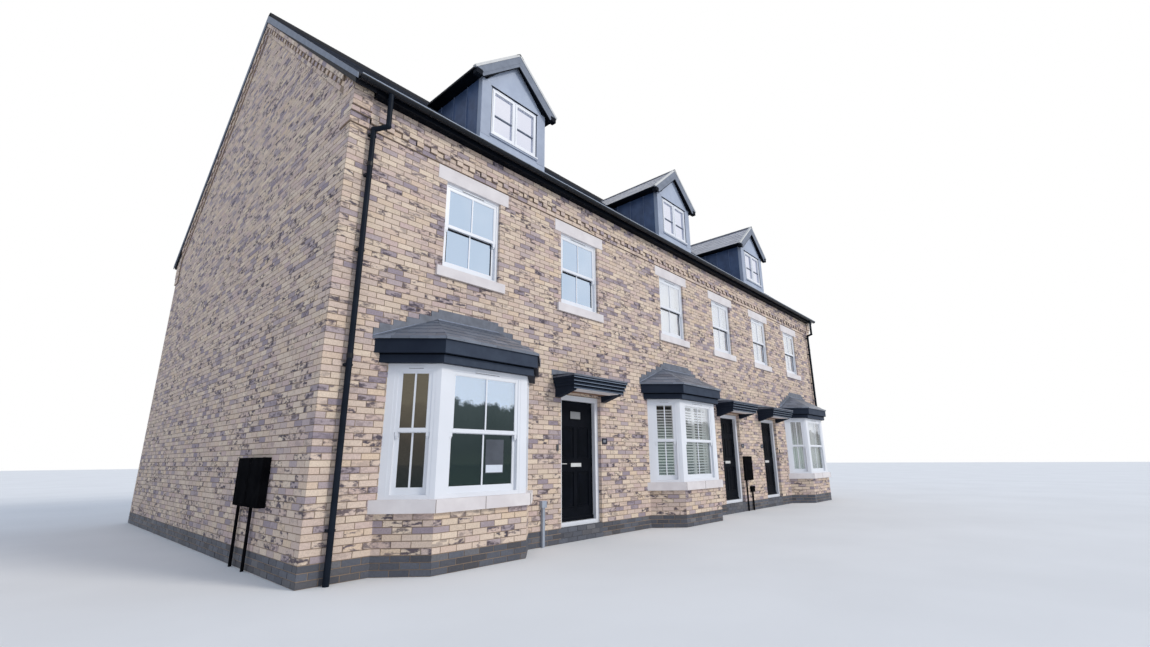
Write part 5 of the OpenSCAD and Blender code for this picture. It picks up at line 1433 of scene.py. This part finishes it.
def gutter_strap(shape, x0, x1, side, r0, r1):
    """Half-round strap round the gutter between two radii."""
    n, k = STRAP_SIDES, STRAP_SIDES + 1
    c = Vector((0, -side * GUTTER_Y, GUTTER_Z))
    points = [Vector((x, c.y + r * math.cos(t), c.z - r * math.sin(t)))
              for x in (x0, x1) for r in (r0, r1) for t in (math.pi * j / n for j in range(k))]
    faces = []
    for j in range(n):
        faces += [(j + k, j + k + 1, j + 3 * k + 1, j + 3 * k), (j, j + k, j + k + 1, j + 1),
                  (j + 2 * k, j + 2 * k + 1, j + 3 * k + 1, j + 3 * k),
                  (j, j + 1, j + 2 * k + 1, j + 2 * k)]
    shape.add(points, faces + [(0, k, 3 * k, 2 * k), (n, n + k, n + 3 * k, n + 2 * k)])


def build_rainwater():
    """Brackets, unions and ends of the gutters, their lips in pale grey as a painted highlight,
    and the clips of the pipes.
    """
    fittings, lip_highlights = shapes("gutter_fittings", "gutter_lip_highlights")
    first, last = X_LEFT - GUTTER_OVER, X_RIGHT + GUTTER_OVER
    for side in (-1, 1):
        for k in range(BRACKETS + 1):
            x = X_LEFT + BRACKET_END + k * (ROW_L - 2 * BRACKET_END) / BRACKETS
            half = UNION_HALF if k % UNION_EVERY == UNION_FIRST else BRACKET_HALF
            gutter_strap(fittings, x - half, x + half, side, GUTTER_R - STRAP_IN,
                         GUTTER_R + STRAP_OUT)
        for x in (first, last - STOP_W):
            gutter_strap(fittings, x, x + STOP_W, side, GUTTER_R - STRAP_IN, GUTTER_R + STOP_OUT)
        y = side * (GUTTER_R - GUTTER_Y - LIP_IN)
        # Pale lip along each gutter: painted highlight
        lip_highlights.prism(face((first, y, GUTTER_Z), (0, 1, 1), (1, 0, 0), (0, -1, 1)),
                   circle(LIP_R, LIP_SIDES), (0, last - first))
        for x in (X_LEFT + PIPE_X, X_RIGHT - PIPE_X):
            for z in CLIP_Z:
                fittings.prism(face((x, side * PIPE_Y, z), (1, 1, 0), (0, 0, 1), (-1, 1, 0)),
                               circle(CLIP_R, CLIP_SIDES), (0, CLIP_H))


def build_ridge_joints():
    """Mortar joints between the ridge tiles."""
    shape = SHAPES["ridge_joints"]
    turns = [math.radians(RIDGE_FIRST + RIDGE_SWEEP * j / RIDGE_SIDES)
             for j in range(RIDGE_SIDES + 1)]
    points = [(RIDGE_R * math.cos(t), RIDGE_R * math.sin(t)) for t in turns]
    inner, outer = ([(p[0] * s, p[1] * s) for p in points] for s in (RIDGE_IN, RIDGE_UP))
    for k in range(1, RIDGE_TILES):
        x = X_LEFT - VERGE_OUT + k * (ROW_L + 2 * VERGE_OUT) / RIDGE_TILES
        f = face((x, 0, RIDGE_Z - RIDGE_R / 2), (0, 1, 0), (1, 0, 0))
        for outline in zip(outer, outer[1:], inner[1:], inner):
            shape.prism(f, outline, (-RIDGE_JOINT, RIDGE_JOINT))


# Stage


def show(name, data):
    obj = bpy.data.objects.new(name, data)
    bpy.context.scene.collection.objects.link(obj)
    return obj


def build_camera():
    yaw, pitch, roll = map(math.radians, (CAMERA_YAW, CAMERA_PITCH, CAMERA_ROLL))
    ahead = Vector((math.sin(yaw) * math.cos(pitch), math.cos(yaw) * math.cos(pitch),
                    math.sin(pitch)))
    right = Vector((math.cos(yaw), -math.sin(yaw), 0))
    up = right.cross(ahead)
    right, up = (right * math.cos(roll) + up * math.sin(roll),
                 up * math.cos(roll) - right * math.sin(roll))
    data = bpy.data.cameras.new("camera")
    data.lens, data.sensor_width, data.sensor_fit = CAMERA_LENS, SENSOR, "HORIZONTAL"
    camera = show("camera", data)
    turn = Matrix((right, up, -ahead)).transposed().to_4x4()
    camera.matrix_world = Matrix.Translation(CAMERA_AT) @ turn
    bpy.context.scene.camera = camera


def build_sun():
    sun = bpy.data.lights.new("sun", "SUN")
    sun.energy, sun.angle, sun.color = SUN_STRENGTH, math.radians(SUN_SPREAD), SUN_COLOUR
    show("sun", sun).rotation_euler = Vector(SUN_AIM).to_track_quat("-Z", "Y").to_euler()


def build_world():
    """Cool even fill, with plain white where the camera, gloss or glass sees it."""
    m = Nodes(bpy.data.worlds.new("world"))
    bpy.context.scene.world = m.owner
    m.tree.nodes.clear()
    rays = m.node("LightPath").outputs
    seen = rays["Is Camera Ray"]
    for name in ("Is Glossy Ray", "Is Transmission Ray"):
        seen = m.math("MAXIMUM", seen, rays[name])
    fill = m.node("Background", {"Color": FILL_COLOUR, "Strength": FILL_STRENGTH})
    white = m.node("Background", {"Color": linear(1.0)})
    mix = m.node("MixShader", {"Fac": seen, 1: fill.outputs[0], 2: white.outputs[0]})
    m.node("OutputWorld", {"Surface": mix.outputs[0]})


def build_floor():
    mesh = bpy.data.meshes.new("floor")
    corners = [(x * FLOOR_REACH, y * FLOOR_REACH, FLOOR_Z)
               for x, y in ((-1, -1), (1, -1), (1, 1), (-1, 1))]
    mesh.from_pydata(corners, [], [(0, 1, 2, 3)])
    mesh.materials.append(look("floor"))
    floor = show("floor", mesh)


def paint_nodes(frame):
    """Gives each CAD node the material of its slot in the record, or one of its own."""
    for part in frame["record"]["subparts"]:
        slot = part["material_slot"]
        materials = frame["nodes"][part["node"]].data.materials
        materials.clear()
        materials.append(look(NODE_LOOKS.get(part["node"], SLOT_LOOKS.get(slot, slot))))


def main():
    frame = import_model()
    bpy.context.scene.view_settings.view_transform = "Standard"
    build_camera()
    build_sun()
    build_world()
    build_floor()
    paint_nodes(frame)
    for build in (build_walls, build_eaves_bricks, build_verge_bricks, build_main_slates,
                  build_bay_slates, build_dormer_slates, build_windows, build_blinds,
                  build_sheet, build_bay_lead, build_bay_trim, build_canopy_trim,
                  build_door_trim, build_fittings, build_dormer_trim, build_rainwater,
                  build_ridge_joints):
        build()
    for name, piece in PIECES.items():
        SHAPES[name].piece(name, look(piece.look), piece.slot or piece.look, piece.body,
                           piece.replaces)


main()
